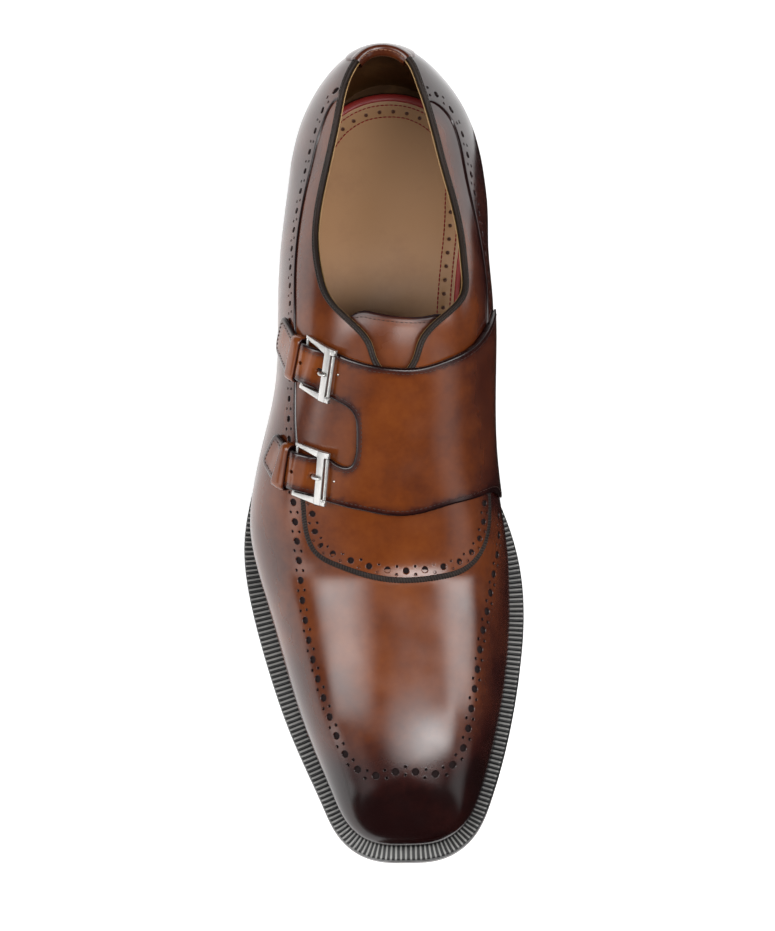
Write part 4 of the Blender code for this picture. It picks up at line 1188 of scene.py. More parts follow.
def make_sock_trim():
    """The red stitches in the border, and the red edge."""
    up = np.array([0.0, 0.0, 1.0])
    parts = []
    for inset in SOCK_STITCHES:
        line = sock_points(sock_loop(inset), cupped(inset) + 0.05)
        for part in in_sight(inset, 0.6):
            parts.append(stitch_points(line[part], np.tile(up, (len(part), 1)), *SOCK_SEWING))
    add_piece("sock_stitches", *merge(parts), red_thread, "sock_leather")
    line = sock_points(sock_loop(SOCK_PIPING), cupped(SOCK_PIPING) + 0.05)
    profile = np.stack([SOCK_PIPING * np.cos(turns(10)), 0.6 * np.sin(turns(10))], 1)
    parts = []
    for part in in_sight(SOCK_PIPING, 0.2):
        path = evened(line[part], 1.5)
        normals = np.tile(up, (len(path), 1))
        parts.append(sweep(path, normals, frames_of(path, normals)[1], profile))
    add_piece("sock_piping", *merge(parts), red_leather, "sock_leather", tone=0.2, solid=True)


TONGUE_TOP = ((-20.0, 112.0), (-14.5, 109.2), (-8.0, 110.2), (0.0, 112.2), (8.0, 112.6), (15.0, 111.4),
              (21.0, 110.6), (25.0, 112.5))


def make_tongue():
    """The tongue between the quarters: its top edge has a slight S, is turned over and stitched."""
    low, high, end = TONGUE_TOP[0][0], TONGUE_TOP[-1][0], TONGUE_LEAF[-1][0]
    girth = np.linspace(low, high, 46)
    top = spline(*np.array(TONGUE_TOP).T, girth)[:, None]
    down = np.r_[0.0, 0.18, 0.5, 1.0, 1.6, 2.4, 3.5, np.arange(5.0, 57.0, 1.5)]
    g, d = np.meshgrid(girth, down, indexing="ij")
    s = top + d * (end - top) / down[-1]
    lateral, medial = read(TONGUE_LEAF, "lateral", s), read(TONGUE_LEAF, "medial", s)
    g = lateral + (g - low) / (high - low) * (medial - lateral)
    face = -(WALL + 3 * GAP)
    round_edge = 1.2 * (1 - np.sqrt(np.clip(1 - np.clip(1 - d / 0.9, 0, 1) ** 2, 0, 1)))
    groove = 0.22 * np.exp(-((d - 2.1) / 0.35) ** 2)
    upper, normal = last.place(s, g, face - round_edge - groove)
    lower, _ = last.place(s, g, face - TONGUE_LEATHER + round_edge)
    quads, index = grid_faces(*g.shape), np.arange(g.size).reshape(g.shape)
    faces = quads.tolist() + (quads[:, ::-1] + g.size).tolist()
    below = g.size
    faces += [[a, a + below, b + below, b] for a, b in zip(index[:, 0], index[1:, 0])]
    faces += [[b, b + below, a + below, a] for a, b in zip(index[:, -1], index[1:, -1])]
    for rim in (index[0], index[-1]):
        faces += [[a, b, b + below, a + below] for a, b in zip(rim, rim[1:])]
    tone = 0.26 + 0.55 * smoothstep(2.5, 0.0, d) + 0.35 * smoothstep(4, 22, g) + 0.14 * smoothstep(-6, -18,
                                                                                                   g)
    points = np.vstack([upper.reshape(-1, 3), lower.reshape(-1, 3)])
    piece = add_piece("tongue_leaf", points, faces, tongue_leather, "tongue_leather",
                      tone=np.tile(np.clip(tone, 0, 1).reshape(-1), 2), solid=True)
    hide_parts("tongue")
    line, out = upper[3:-3, 5], normal[3:-3, 5]
    add_piece("tongue_stitches", *stitch_points(line, out, *TONGUE_SEWING), brown_thread, "tongue_leather")


# Strap panel, straps and keepers

def strap_place(table, girth, aside):
    """The (station, girth) this many mm across a strap's centre line, + to the toe."""
    centre = read(table, "station", girth)
    near = max(girth, table[-1][0] + 0.5)
    advance = read(table, "station", near - 0.5) - read(table, "station", near + 0.5)
    here = last.place(centre, girth)[0]
    by_station = last.place(centre + 1, girth)[0] - here
    by_girth = last.place(centre, girth + 1)[0] - here
    run = by_station * advance - by_girth
    step = np.array([-(by_girth @ run), by_station @ run])
    step /= np.linalg.norm(by_station * step[0] + by_girth * step[1])
    return np.array([centre, girth]) + aside * step


def strap_read(table, name, girth):
    return np.interp(-girth, -column(table, "girth"), column(table, name))


def strap_leg(table, sides, low=-24.0, tip=3.2):
    """One long side of a strap as (station, girth, lift), from the panel to where the tip rounds off."""
    end = table[-1][0]
    girths = np.arange(low, end + tip, -0.5)
    made = np.array([[*strap_place(table, g, sides * strap_read(table, "half", g)),
                      strap_read(table, "lift", g)] for g in girths])
    return made[made[:, 1] < -23.0]


def strap_tip(table):
    """The rounded end of a strap, from its heel side to its toe side."""
    end = table[-1][0]
    half = strap_read(table, "half", end + 4.0)
    lift = strap_read(table, "lift", end)
    turn = np.linspace(np.pi, 0, 17)[1:-1]
    made = []
    for t in turn:
        aside = np.sign(np.cos(t)) * abs(np.cos(t)) ** 0.55 * half
        out = abs(np.sin(t)) ** 0.55 * 3.0
        made.append([*strap_place(table, end + 3.0 - out, aside), lift])
    return np.array(made)


def panel_side(name, girths):
    return np.array([[float(read(PANEL, name, g)), g, PANEL_LIFT] for g in girths])


def panel_outline():
    """The closed outline of the panel and its two straps as (station, girth, lift)."""
    far = PANEL[1][0]
    long_way = np.arange(far, -21.6, -1.0)
    gap = np.array([-21.5, -18.9, -16.8, -15.4])
    pieces = [panel_side("back", long_way), strap_leg(STRAP_BACK, -1), strap_tip(STRAP_BACK),
              strap_leg(STRAP_BACK, 1)[::-1], panel_side("split_back", gap),
              np.array([[147.0, SPLIT_GIRTH, PANEL_LIFT], [152.3, SPLIT_GIRTH + 0.2, PANEL_LIFT],
                        [158.0, SPLIT_GIRTH, PANEL_LIFT]]),
              panel_side("split_front", gap[::-1]), strap_leg(STRAP_FRONT, -1), strap_tip(STRAP_FRONT),
              strap_leg(STRAP_FRONT, 1)[::-1], panel_side("front", long_way[::-1])]
    loop = np.vstack(pieces)
    loop = np.vstack([loop, loop[:1]])
    loop = at_index(loop, even(last.place(loop[:, 0], loop[:, 1])[0], 0.9))[:-1]
    for _ in range(3):
        corner = np.abs(loop[:, 1] - far) < 1.5
        loop = np.where(corner[:, None], loop, blurred(loop))
    return loop


def inset(loop, distance):
    """The loop moved this many mm into the piece, along the surface."""
    here, normal = last.place(loop[:, 0], loop[:, 1])
    by_station = last.place(loop[:, 0] + 0.5, loop[:, 1])[0] - last.place(loop[:, 0] - 0.5, loop[:, 1])[0]
    by_girth = last.place(loop[:, 0], loop[:, 1] + 0.5)[0] - last.place(loop[:, 0], loop[:, 1] - 0.5)[0]
    inward = np.cross(normal, unit(np.roll(here, -1, 0) - np.roll(here, 1, 0)))
    metric = np.stack([np.stack([(by_station**2).sum(1), (by_station * by_girth).sum(1)], 1),
                       np.stack([(by_station * by_girth).sum(1), (by_girth**2).sum(1)], 1)], 1)
    right = np.stack([(by_station * inward).sum(1), (by_girth * inward).sum(1)], 1)
    step = np.linalg.solve(metric, right[..., None])[..., 0]
    moved = loop.copy()
    moved[:, :2] += distance * step
    return moved


PANEL_SKIVE = (44.0, 61.0, 0.72)    # the panel thins between these girths, by this share


def panel_thick(girth):
    start, end, share = PANEL_SKIVE
    return 1 - share * smoothstep(start, end, girth)


PANEL_EDGE = ((0.30, 0.0), (0.06, 0.25), (0.0, 0.7), (0.0, 1.15), (0.12, 1.52), (0.42, 1.76),
              (0.9, 1.84))
SPARE_HOLES = ((STRAP_BACK, -35.6, 0.0, 0.75), (STRAP_FRONT, -37.8, 0.3, 0.75))


def punch_loop(table, girth, aside, radius, sides=14):
    """A hole in a strap as a loop of (station, girth, lift)."""
    long, wide = np.broadcast_to(radius, 2)
    return np.array([[*strap_place(table, girth - long * np.cos(t), aside + wide * np.sin(t)),
                      strap_read(table, "lift", girth - long * np.cos(t))] for t in -turns(sides)])


def make_strap_panel():
    outline = panel_outline()
    loops = [inset(outline, distance) for distance, _ in PANEL_EDGE]
    bed = loops[-1]
    holes = [punch_loop(*hole) for hole in SPARE_HOLES]
    for row in BUCKLES[1:]:
        holes.append(punch_loop(row[1], row[3] - PRONG_HOLE[2], 0.0, PRONG_HOLE[:2], 16))
    s, g = np.meshgrid(np.arange(100, 182, 2.0), np.arange(62.5, -22.5, -2.0), indexing="ij")
    inner = [[a, b, PANEL_LIFT] for a, b in zip(s.reshape(-1), g.reshape(-1))]
    for table in (STRAP_BACK, STRAP_FRONT):
        for girth in np.arange(-23.5, table[-1][0] + 2.5, -1.3):
            half = strap_read(table, "half", girth)
            inner += [[*strap_place(table, girth, a * half), strap_read(table, "lift", girth)]
                      for a in (-0.75, -0.5, -0.25, 0.0, 0.25, 0.5, 0.75)]
    inner = np.array(inner)
    inner = inner[inside_loop(bed, inner)]
    near = np.min([np.linalg.norm(inner[:, None, :2] - loop[None, :, :2], axis=2).min(1)
                   for loop in [bed] + holes], axis=0)
    inner = inner[near > 0.8]
    flat = np.vstack([bed] + holes + [inner])
    edges, start = [], 0
    for loop in [bed] + holes:
        edges += [(start + i, start + (i + 1) % len(loop)) for i in range(len(loop))]
        start += len(loop)
    triangles = triangulate(flat, edges)
    middle = flat[triangles].mean(1)
    keep = inside_loop(bed, middle)
    for hole in holes:
        keep &= ~inside_loop(hole, middle)
    triangles = triangles[keep]
    thick = PANEL_EDGE[-1][1]
    count, size = len(flat), len(bed)
    points = np.vstack([last.place(flat[:, 0], flat[:, 1], flat[:, 2] + thick * panel_thick(flat[:, 1]))[0],
                        last.place(flat[:, 0], flat[:, 1], flat[:, 2])[0]])
    faces = triangles.tolist() + (triangles[:, ::-1] + count).tolist()
    tone = [panel_tone(flat, bed), np.full(count, 0.6)]
    ring_start = []
    for loop, (_, height) in zip(loops[:-1], PANEL_EDGE[:-1]):
        ring_start.append(len(points))
        height = height * panel_thick(loop[:, 1])
        points = np.vstack([points, last.place(loop[:, 0], loop[:, 1], loop[:, 2] + height)[0]])
        tone.append(np.full(size, 1.08))
    chain = [count] + ring_start + [0]
    for low, high in zip(chain, chain[1:]):
        faces += ring_quads(low, high, size)
    start = size
    for hole in holes:
        faces += ring_quads(start, count + start, len(hole))
        start += len(hole)
    piece = add_piece("strap_panel_leather", points, faces, leather, "strap_leather",
                      tone=np.concatenate(tone),
                      solid=True, sharp=60)
    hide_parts("strap_panel")
    sewn = inset(outline, 2.0)
    sewn = np.vstack([sewn, sewn[:1]])
    end = int(np.argmax(sewn[:, 1]))
    sewn = np.roll(sewn[:-1], -end, axis=0)
    sewn = sewn[sewn[:, 1] < PANEL_SKIVE[1] - 2]
    sewn = at_index(sewn, even(last.place(sewn[:, 0], sewn[:, 1])[0], 0.6))
    line, out = last.place(sewn[:, 0], sewn[:, 1], sewn[:, 2] + thick * panel_thick(sewn[:, 1]))
    add_piece("strap_panel_stitches", *stitch_points(line, out, *PANEL_SEWING), brown_thread,
              "strap_leather")


def panel_tone(places, edge):
    """The panel is tan in the middle, and darker at its edges and towards the medial side."""
    station, girth = places[:, 0], places[:, 1]
    away = np.array([np.linalg.norm(edge[:, :2] - p[:2], axis=1).min() for p in places])
    tone = 0.20 + 0.42 * smoothstep(8, 48, girth) + 0.12 * smoothstep(52, 66, girth)
    tone += 0.06 * smoothstep(160, 176, station) - 0.14 * smoothstep(-17, -28, girth)
    tone += 0.10 * smoothstep(5.0, 0.5, away) + 0.50 * smoothstep(1.5, 0.35, away)
    return np.clip(tone, 0, 0.95)


def make_keeper(row):
    """A leather loop round the strap, with soft edges."""
    name, table, middle = row[0], row[1], row[-1]
    half = float(strap_read(table, "half", middle)) + GAP + 0.1
    thick = KEEPER_LEATHER
    under = strap_read(table, "lift", middle) - GAP
    over = under + 2 * GAP + STRAP_LEATHER + 0.1
    low = 0.3 + thick / 2
    corners = [(-half - thick / 2, low), (-half - thick / 2, over - 0.4), (-half + 0.2, over + thick / 2),
               (half - 0.2, over + thick / 2), (half + thick / 2, over - 0.4), (half + thick / 2, low),
               (half - 0.5, 0.25), (-half + 0.5, 0.25)]
    path = evened(np.array(corners + corners[:1]), 0.7)[:-1]
    path = blurred(blurred(path))
    wide = KEEPER_WIDTH / 2
    section = ((-wide, 0.0), (-wide + 0.1, 0.38), (-wide + 0.45, 0.58), (0.0, 0.66), (wide - 0.45, 0.58),
               (wide - 0.1, 0.38), (wide, 0.0), (wide - 0.1, -0.38), (wide - 0.45, -0.58), (0.0, -0.6),
               (-wide + 0.45, -0.58), (-wide + 0.1, -0.38))
    points = []
    for place, away in zip(path, -inwards(path)):
        for along, rise in section:
            aside, lift = place + rise * away
            points.append(last.place(*strap_place(table, middle - along, aside), max(lift, 0.12))[0])
    faces = grid_faces(len(path), len(section), True, True)
    tone = np.tile([0.95, 0.5, 0.2, 0.08, 0.2, 0.5, 0.95, 0.95, 0.95, 0.95, 0.95, 0.95], len(path))
    piece = add_piece("keeper_loop_" + name, np.array(points), faces, leather, "strap_leather", tone=tone,
                      solid=True)
    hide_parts("keeper_" + name)


# Buckles

def buckle_matrix(station, girth, turn, dive):
    """The buckle's own frame at its front bar, in mm: X to the far bar, Y to the toe, Z outwards."""
    place, _ = last.place(station, girth, FRAME_LIFT)
    normal = Vector(place - last.place(station, girth)[0]).normalized()
    run = Vector(last.place(station, girth - 1.0, FRAME_LIFT)[0] - place)
    run = (run - normal * run.dot(normal)).normalized()
    flat = Matrix((run, normal.cross(run), normal)).transposed().to_4x4()
    flat.translation = Vector(place)
    return flat @ Matrix.Rotation(-np.radians(turn), 4, "Z") @ Matrix.Rotation(np.radians(dive), 4, "Y")


def block(corners, bevel):
    """Points and faces of a six-sided block with rounded edges: four corners below, then four above."""
    work = bmesh.new()
    points = [work.verts.new(c) for c in corners]
    for ring in ((3, 2, 1, 0), (4, 5, 6, 7), (0, 1, 5, 4), (1, 2, 6, 5), (2, 3, 7, 6), (3, 0, 4, 7)):
        work.faces.new([points[n] for n in ring])
    bmesh.ops.bevel(work, geom=work.edges[:], offset=bevel, segments=3, affect="EDGES", profile=0.6)
    bmesh.ops.recalc_face_normals(work, faces=work.faces)
    work.verts.index_update()
    made = [tuple(v.co) for v in work.verts], [[v.index for v in f.verts] for f in work.faces]
    work.free()
    return made


def box(low, high, bevel):
    """A block from its lowest corner and its highest."""
    (x, y, z), (x2, y2, z2) = low, high
    return block([(*plan, height) for height in (z, z2) for plan in ((x, y), (x2, y), (x2, y2), (x, y2))],
                 bevel)


def wire(path, radii, sides=14, taper=0.5):
    """Points and faces of a round wire with domed ends."""
    path = evened(np.asarray(path, float), 0.35)
    radius = np.interp(np.linspace(0, 1, len(path)), np.linspace(0, 1, len(radii)), radii)
    run = unit(np.gradient(path, axis=0))
    seed = np.array([0.0, 0.0, 1.0]) if abs(run[0, 2]) < 0.8 else np.array([1.0, 0.0, 0.0])
    out = unit(seed - run * (run @ seed)[:, None])
    side = np.cross(out, run)

    def dome(end, sign, reach, size):
        place = path[end] + sign * run[end] * radius[end] * taper * reach
        return place, out[end], side[end], radius[end] * size

    rings = [dome(0, -1, 1.0, 0.35), dome(0, -1, 0.7, 0.75), *zip(path, out, side, radius),
             dome(-1, 1, 0.7, 0.75), dome(-1, 1, 1.0, 0.35)]
    points = [p + r * (np.cos(t) * o + np.sin(t) * a) for p, o, a, r in rings for t in turns(sides)]
    faces = grid_faces(len(rings), sides, False, True).tolist()
    end = (len(rings) - 1) * sides
    return points, faces + [list(range(sides)), [end + n for n in range(sides)]]


def ring(centre, radius, thickness, axis="Y"):
    """Points and faces of a round ring about an axis through its centre."""
    points = []
    for t in turns(24):
        for a in turns(10):
            reach = radius + thickness * np.cos(a)
            flat = (reach * np.cos(t), thickness * np.sin(a), reach * np.sin(t))
            if axis == "Z":
                flat = (flat[0], flat[2], flat[1])
            points.append(tuple(np.add(centre, flat)))
    return points, grid_faces(24, 10, True, True).tolist()


PLATE_MORE = 0.4        # how far the front bar reaches towards the rod
RIVETS = {"back": -21.1, "front": -22.1}        # girths of the rivets beside the buckles


def make_buckle(row):
    """The frame, rod and prong of one buckle."""
    name, table, station, girth, turn, dive, shift, _ = row
    place = np.array(buckle_matrix(station, girth, turn, dive))

    def put(piece_name, parts, node_name):
        points, faces = merge(parts)
        points = points @ place[:3, :3].T + place[:3, 3]
        made = add_piece(piece_name, points, faces, steel, "buckle_metal", solid=True, sharp=50)
        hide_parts(node_name)

    half, thick = FRAME_SPAN / 2, FRAME_THICK / 2
    wide = FRONT_BAR / 2
    parts = [box((-wide - PLATE_MORE, -half, -thick), (wide, half, thick), 0.22)]
    for side in (-1, 1):
        ends = []
        for x, width, low, high in ((-ROLLER_REACH - 0.75, ARM, -thick, thick * 0.8),
                                    (wide, ARM + 0.5, -thick, thick),
                                    (FRAME_LENGTH + 0.8, ARM_END, -thick * 0.6, thick * 0.55)):
            outer = side * half - shift * max(x, 0.0) / FRAME_LENGTH
            ends.append([(x, outer, low), (x, outer - side * width, low), (x, outer, high),
                         (x, outer - side * width, high)])
        for a, b in zip(ends, ends[1:]):
            parts.append(block([a[0], a[1], b[1], b[0], a[2], a[3], b[3], b[2]], 0.22))
    inner = half - ARM
    parts.append(wire([(FRAME_LENGTH, -inner - shift - 0.8, 0), (FRAME_LENGTH, inner - shift + 0.8, 0)],
                      [FAR_BAR, FAR_BAR]))
    parts.append(ring((-ROLLER_REACH, -inner - 1.05, 0.35), 0.62, 0.28, axis="Z"))
    parts.append(box((-ROLLER_REACH - 0.9, inner + 0.2, -0.5), (-ROLLER_REACH + 0.9, inner + 1.3, 0.9),
                     0.25))
    put("buckle_frame_" + name, parts, "buckle_" + name)
    rod_end = inner - GAP
    rod = wire([(-ROLLER_REACH, -rod_end, 0), (-ROLLER_REACH, rod_end, 0)], [ROLLER, ROLLER], 16, 0.2)
    put("buckle_rod_" + name, [rod], "roller_" + name)
    rest = thick + 0.1 + PRONG
    path = [(FRAME_LENGTH - PRONG_EYE + 0.35, -shift, 0), (8.0, -shift / 2, -0.4), (4.6, 0, -1.3),
            (3.3, 0, -0.9),
            (2.5, 0, rest - 0.5), (1.6, 0, rest), (-0.7, 0, rest)]
    prong = [wire(path, [0.6, 0.62, 0.62, 0.64, 0.72, 0.72, 0.62], 16, 0.9),
             ring((FRAME_LENGTH, -shift, 0), PRONG_EYE - 0.25, 0.38)]
    put("buckle_prong_" + name, prong, "prong_" + name)
    centre, normal = last.place(*strap_place(table, RIVETS[name], 0.3), PANEL_LIFT + PANEL_EDGE[-1][1])
    rivet = wire([centre - 0.3 * normal, centre + 0.12 * normal], [0.5, 0.46], 12, 0.5)
    add_piece("rivet_" + name, *rivet, steel, "buckle_metal", solid=True)


# Welt, sole and heel

RIB_PITCH = 1.9
RIB_STEPS = 7           # mesh columns to a rib
RIB_DEPTH = 0.42
# The welt as (in, up, how ribbed), in from the sole's edge, and for the last five from the upper
WELT_SECTION = ((0.55, 0.05, 0.0), (0.12, 0.5, 0.0), (0.0, 1.3, 0.0), (0.02, 2.2, 0.35), (0.18, 2.75, 0.7),
                (0.55, 3.05, 1.0), (1.2, 3.12, 1.0), (-1.5, 3.12, 1.0), (-1.0, 3.05, 0.75),
                (-0.75, 2.7, 0.15), (-0.35, 2.5, 0.0), (0.0, 2.6, 0.0))


def make_welt():
    """A ring with wheeled ribs across its top, and a plain channel beside the upper."""
    loop, side = loop_of(stations(400))
    closed = np.vstack([loop, loop[:1]])
    length = arc_of(closed)[-1]
    ribs = int(round(length / RIB_PITCH))
    index = even(closed, length / (ribs * RIB_STEPS))[:-1]
    edge = at_index(closed, index)
    side = np.interp(index, np.arange(len(closed)), np.r_[side, side[0]])
    side = np.where(index > len(loop) - 1.0, 0.5, side)
    inner = inwards(edge)
    margin = by_side(OUTLINE, "margin_", edge[:, 1], side)
    phase = np.arange(len(edge)) * 2 * np.pi / (len(edge) / ribs)
    ridge = 0.5 + 0.5 * np.cos(phase)
    wall = margin - 0.15
    base = underside(edge[:, 1]) + SOLE + GAP
    rows, tone = [], []
    for n, (inset_by, height, amount) in enumerate(WELT_SECTION):
        reach = wall + inset_by if n >= 7 else np.full(len(edge), inset_by)
        groove = amount * RIB_DEPTH * (1 - ridge)
        reach = reach + np.where(amount > 0, 0.22 * (1 - ridge) * amount, 0.0) * (n < 6)
        plan = edge + inner * reach[:, None]
        rows.append(to_world(np.column_stack([plan, base + height - groove])))
        # Painted highlight: the rib tops are painted light grey over the welt's own black.
        tone.append(0.95 - 0.9 * smoothstep(0.3, 0.75, ridge) * amount)
    under = edge + inner * (margin + WALL)[:, None]
    for height in (2.6, 0.05):
        rows.append(to_world(np.column_stack([under, base + height])))
        tone.append(np.full(len(edge), 0.9))
    points = np.stack(rows, 1)
    faces = grid_faces(len(edge), points.shape[1], True, True)
    piece = add_piece("wheeled_welt", points.reshape(-1, 3), faces, welt_leather, "welt_leather",
                      tone=np.stack(tone, 1).reshape(-1), solid=True)
    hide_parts("welt")


SOLE_SECTION = ((2.2, 0.0), (1.1, 0.05), (0.45, 0.28), (0.1, 0.8), (0.0, 1.5), (0.06, 2.4), (0.14, 3.1),
                (0.04, 3.9), (0.1, 4.6), (0.35, 4.95), (2.0, 5.0))


def across_ring(ring, count):
    """Fifteen grid columns from the first points of a ring, on the lateral side, to the medial side."""
    lateral, medial = ring[:count], np.vstack([ring[:1], ring[:len(ring) - count:-1]])
    share = np.linspace(0, 1, 15)[None, :, None]
    return lateral[:, None] * (1 - share) + medial[:, None] * share, share[..., 0]


def make_outsole():
    loop, _ = loop_of(stations(170))
    inner = inwards(loop)
    rings = []
    for inset_by, height in SOLE_SECTION:
        plan = loop + inner * inset_by
        rings.append(np.column_stack([plan, underside(plan[:, 1]) + height]))
    shell = np.stack(rings, 1)
    count = len(loop)
    points = [shell.reshape(-1, 3)]
    faces = grid_faces(count, len(rings), wrap_rows=True).tolist()
    start = shell.shape[0] * shell.shape[1]
    tone = [np.full(start, 0.75)]
    for ring_of, height, flip in ((0, 0.0, True), (len(rings) - 1, 5.0, False)):
        grid, _ = across_ring(rings[ring_of], count // 2 + 1)
        grid[..., 2] = underside(grid[..., 1]) + height
        quads = grid_faces(*grid.shape[:2]) + start
        faces += (quads if flip else quads[:, ::-1]).tolist()
        points.append(grid.reshape(-1, 3))
        tone.append(np.full(grid.shape[0] * grid.shape[1], 0.2))
        start += grid.shape[0] * grid.shape[1]
    piece = add_piece("outsole_edge", to_world(np.vstack(points)), faces, sole_leather, "sole_leather",
                      tone=np.concatenate(tone),
                      weld=True, sharp=40)
    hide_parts("outsole")


def heel_ring(taper, columns=60):
    """The heel's plan as a closed ring of (x, station): lateral side, hollow breast, medial side, back."""
    along = stations(columns)
    along = np.r_[along[along < HEEL_LENGTH - 1.5], HEEL_LENGTH]
    lateral = np.stack([sole_edge(along, -1) + taper, along + taper * (1 - along / HEEL_LENGTH)], 1)
    medial = np.stack([sole_edge(along, 1) - taper, along + taper * (1 - along / HEEL_LENGTH)], 1)
    share = np.linspace(0, 1, 15)[1:-1, None]
    breast = lateral[-1] * (1 - share) + medial[-1] * share
    breast[:, 1] -= BREAST_HOLLOW * 4 * (share * (1 - share))[:, 0]
    return np.vstack([lateral, breast, medial[:0:-1]])


def make_heel_part(name, node_name, low, high, taper_low, taper_high, grooves, material, slot):
    """A heel block between two heights, with fine lines between its layers."""
    levels = [0.0, 0.012, 0.05]
    for groove in grooves:
        levels += [groove - 0.018, groove, groove + 0.018]
    levels += [0.95, 0.988, 1.0]
    rings = []
    for level in levels:
        taper = taper_low * (1 - level) + taper_high * level
        round_off = 0.45 * (1 - np.sqrt(1 - max(0, 1 - min(level, 1 - level) / 0.05) ** 2))
        taper += round_off + (0.16 if level in grooves else 0.0)
        ring_plan = heel_ring(taper)
        z_low, z_high = low(ring_plan[:, 1]), high(ring_plan[:, 1])
        rings.append(np.column_stack([ring_plan, z_low + (z_high - z_low) * level]))
    shell = np.stack(rings, 1)
    count = len(shell)
    faces = grid_faces(count, len(levels), wrap_rows=True).tolist()
    points = [shell.reshape(-1, 3)]
    start = count * len(levels)
    for ring_of, height in ((0, low), (len(rings) - 1, high)):
        grid, share = across_ring(rings[ring_of][:, :2], (count - 12) // 2)
        bow = BREAST_HOLLOW * np.clip((grid[..., 1] - HEEL_LENGTH / 2) / (HEEL_LENGTH / 2), 0, 1)
        grid[..., 1] -= bow * 4 * (share * (1 - share))
        grid = np.concatenate([grid, height(grid[..., 1])[..., None]], 2)
        faces += (grid_faces(*grid.shape[:2]) + start).tolist()
        points.append(grid.reshape(-1, 3))
        start += grid.shape[0] * grid.shape[1]
    points = to_world(np.vstack(points))
    tone = 0.3 + 0.5 * np.abs(np.sin(points[:, 2] * 2.1))
    piece = add_piece(name, points, faces, material, slot, tone=tone, weld=True, solid=True, sharp=40)
    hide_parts(node_name)


def make_heel():
    make_heel_part("heel_layers", "heel_stack", lambda s: 0 * s + TOP_PIECE + 0.05,
                   lambda s: underside(s) - 0.05,
                   1.4, 0.3, (0.27, 0.52, 0.76), edge_leather, "heel_leather")
    make_heel_part("heel_top_piece", "top_piece", lambda s: 0 * s, lambda s: 0 * s + TOP_PIECE, 1.6, 1.4,
                   (),
                   rubber, "heel_rubber")
    ring_plan = heel_ring(7.0, 30)
    spots = evened(np.vstack([ring_plan, ring_plan[:1]]), 17.0)[:-1]
    pins = [wire([(x, TREAD_CENTRE - s, 0.4), (x, TREAD_CENTRE - s, 0.06)], [0.9, 0.9], 14, 0.05)
            for x, s in spots]
    add_piece("heel_pins", *merge(pins), steel, "buckle_metal", solid=True)


# Floor, light and camera

def flat_card(name, corners, height, grey, glow=0.0):
    """A flat four-cornered part of the stage, as (x, y) corners at one height."""
    mesh = bpy.data.meshes.new(name)
    mesh.from_pydata([(*corner, height) for corner in corners], [], [(0, 1, 2, 3)])
    material, tree, shader = shader_of(name)
    shader.inputs["Base Color"].default_value = (grey, grey, grey, 1)
    shader.inputs["Roughness"].default_value = 0.9
    shader.inputs["Specular IOR Level"].default_value = 0.1
    shader.inputs["Emission Color"].default_value = (1, 1, 1, 1)
    shader.inputs["Emission Strength"].default_value = glow
    mesh.materials.append(material)
    card = bpy.data.objects.new(name, mesh)
    collection.objects.link(card)
    return card


def make_stage():
    """A white floor, and black cards that only the leather's gloss sees: beside and before the shoe."""
    reach = 6.0
    flat_card("floor", ((-reach, -reach), (reach, -reach), (reach, reach), (-reach, reach)), 0, 0.93, 0.42)
    cards = (("card_front", ((-0.25, -1.8), (0.5, -1.8), (0.22, -0.285), (-0.02, -0.285))),
             ("card_right", ((0.036, -5.5), (5.9, -5.5), (5.9, 0.15), (0.036, 0.03))))
    for name, corners in cards:
        card = flat_card(name, corners, 0.001, 0.01)
        card.visible_camera = card.visible_diffuse = card.visible_shadow = False


LIGHT_FAR = 4.0
# Soft boxes: direction from the shoe, size across and along it in metres, radiance, roll in degrees
SOFT_BOXES = (
    ("left", (-0.62, 0.0, 0.78), (2.9, 1.5), 9.0, 0.0),
    ("right", (0.80, 0.05, 0.60), (2.7, 1.0), 9.0, 10.0),
    ("key", (0.32, -0.32, 0.90), (2.9, 0.95), 14.0, 7.0),
    ("left_low", (-0.90, -0.34, 0.24), (1.7, 0.85), 3.5, 0.0),
    ("left_mid", (-0.62, -0.50, 0.60), (2.0, 1.2), 0.9, 0.0),
    ("right_mid", (0.85, -0.42, 0.31), (2.2, 1.1), 1.2, 0.0),
)


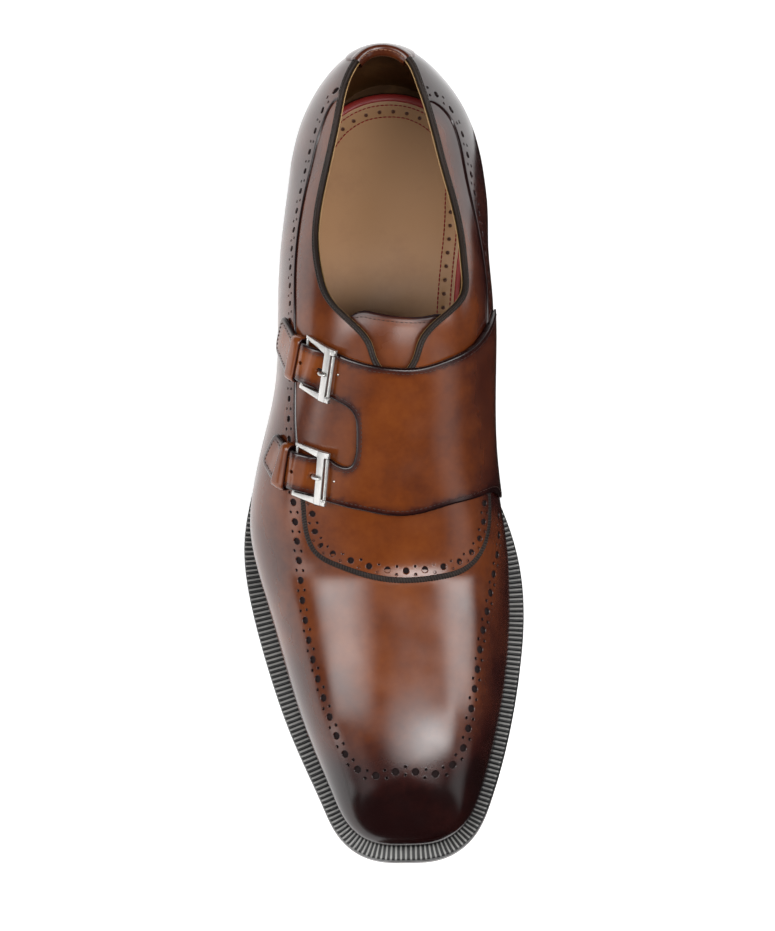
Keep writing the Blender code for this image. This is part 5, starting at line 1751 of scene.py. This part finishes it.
def area_light(name, direction, far, size, radiance, roll=0.0, aim=(0.0, -0.17, 0.05)):
    """A soft box this way and this far from the shoe: size is across and along the shoe, in metres."""
    direction = Vector(direction).normalized()
    light = bpy.data.lights.new(name, "AREA")
    light.shape = "RECTANGLE"
    light.size, light.size_y = size
    light.energy = radiance * np.pi * size[0] * size[1]
    made = bpy.data.objects.new(name, light)
    across = Vector((0, 1, 0)).cross(direction).normalized()
    turn = Matrix((across, direction.cross(across), direction)).transposed().to_4x4()
    turn.translation = Vector(aim) + direction * far
    made.matrix_world = turn @ Matrix.Rotation(np.radians(roll), 4, "Z")
    made.visible_camera = False
    collection.objects.link(made)


def soft_box(name, direction, size, radiance, roll):
    """A soft box whose edges fade: five lights, one within another."""
    for n in range(5):
        share = 1.3 - 0.2 * n
        area_light("%s_%d" % (name, n), direction, LIGHT_FAR - 0.03 * n,
                   (size[0] * share, size[1] * share * 1.12), radiance / 5.5, roll)


def make_light():
    world = bpy.data.worlds.new("studio")
    bpy.context.scene.world = world
    world.use_nodes = True
    world.node_tree.nodes["Background"].inputs["Color"].default_value = (1, 1, 1, 1)
    world.node_tree.nodes["Background"].inputs["Strength"].default_value = 0.06
    for row in SOFT_BOXES:
        soft_box(*row)


CAMERA_VIEW = (0.0227, -0.2215, 0.9749)     # from the shoe to the camera
CAMERA_ROLL = -0.863                        # degrees
CAMERA_FAR = 2400.0
FRAME_HEIGHT = 354.0                        # mm seen at the shoe
CAMERA_AIM = (-3.0, -112.0, 20.0)


def make_camera():
    view = Vector(CAMERA_VIEW).normalized()
    up = (Vector((0, 1, 0)) - view * view.y).normalized()
    right = up.cross(view)
    roll = np.radians(CAMERA_ROLL)
    turned = up * np.cos(roll) - right * np.sin(roll)
    across = turned.cross(view)
    camera = bpy.data.cameras.new("camera")
    camera.sensor_fit = "VERTICAL"
    camera.sensor_height = 24.0
    camera.lens = camera.sensor_height * CAMERA_FAR / FRAME_HEIGHT
    camera.clip_start, camera.clip_end = 0.05, 50.0
    made = bpy.data.objects.new("camera", camera)
    turn = Matrix((across, turned, view)).transposed().to_4x4()
    turn.translation = (Vector(CAMERA_AIM) + view * CAMERA_FAR) * MM
    made.matrix_world = turn
    collection.objects.link(made)
    bpy.context.scene.camera = made
    bpy.context.scene.view_settings.view_transform = "Standard"


make_skin()
make_lining()
make_strips()
make_gimp()
make_binding()
make_heel_tab()
make_sock()
make_sock_trim()
make_tongue()
make_strap_panel()
for buckle_row in BUCKLES[1:]:
    make_buckle(buckle_row)
    make_keeper(buckle_row)
make_welt()
make_outsole()
make_heel()
make_stage()
make_light()
make_camera()
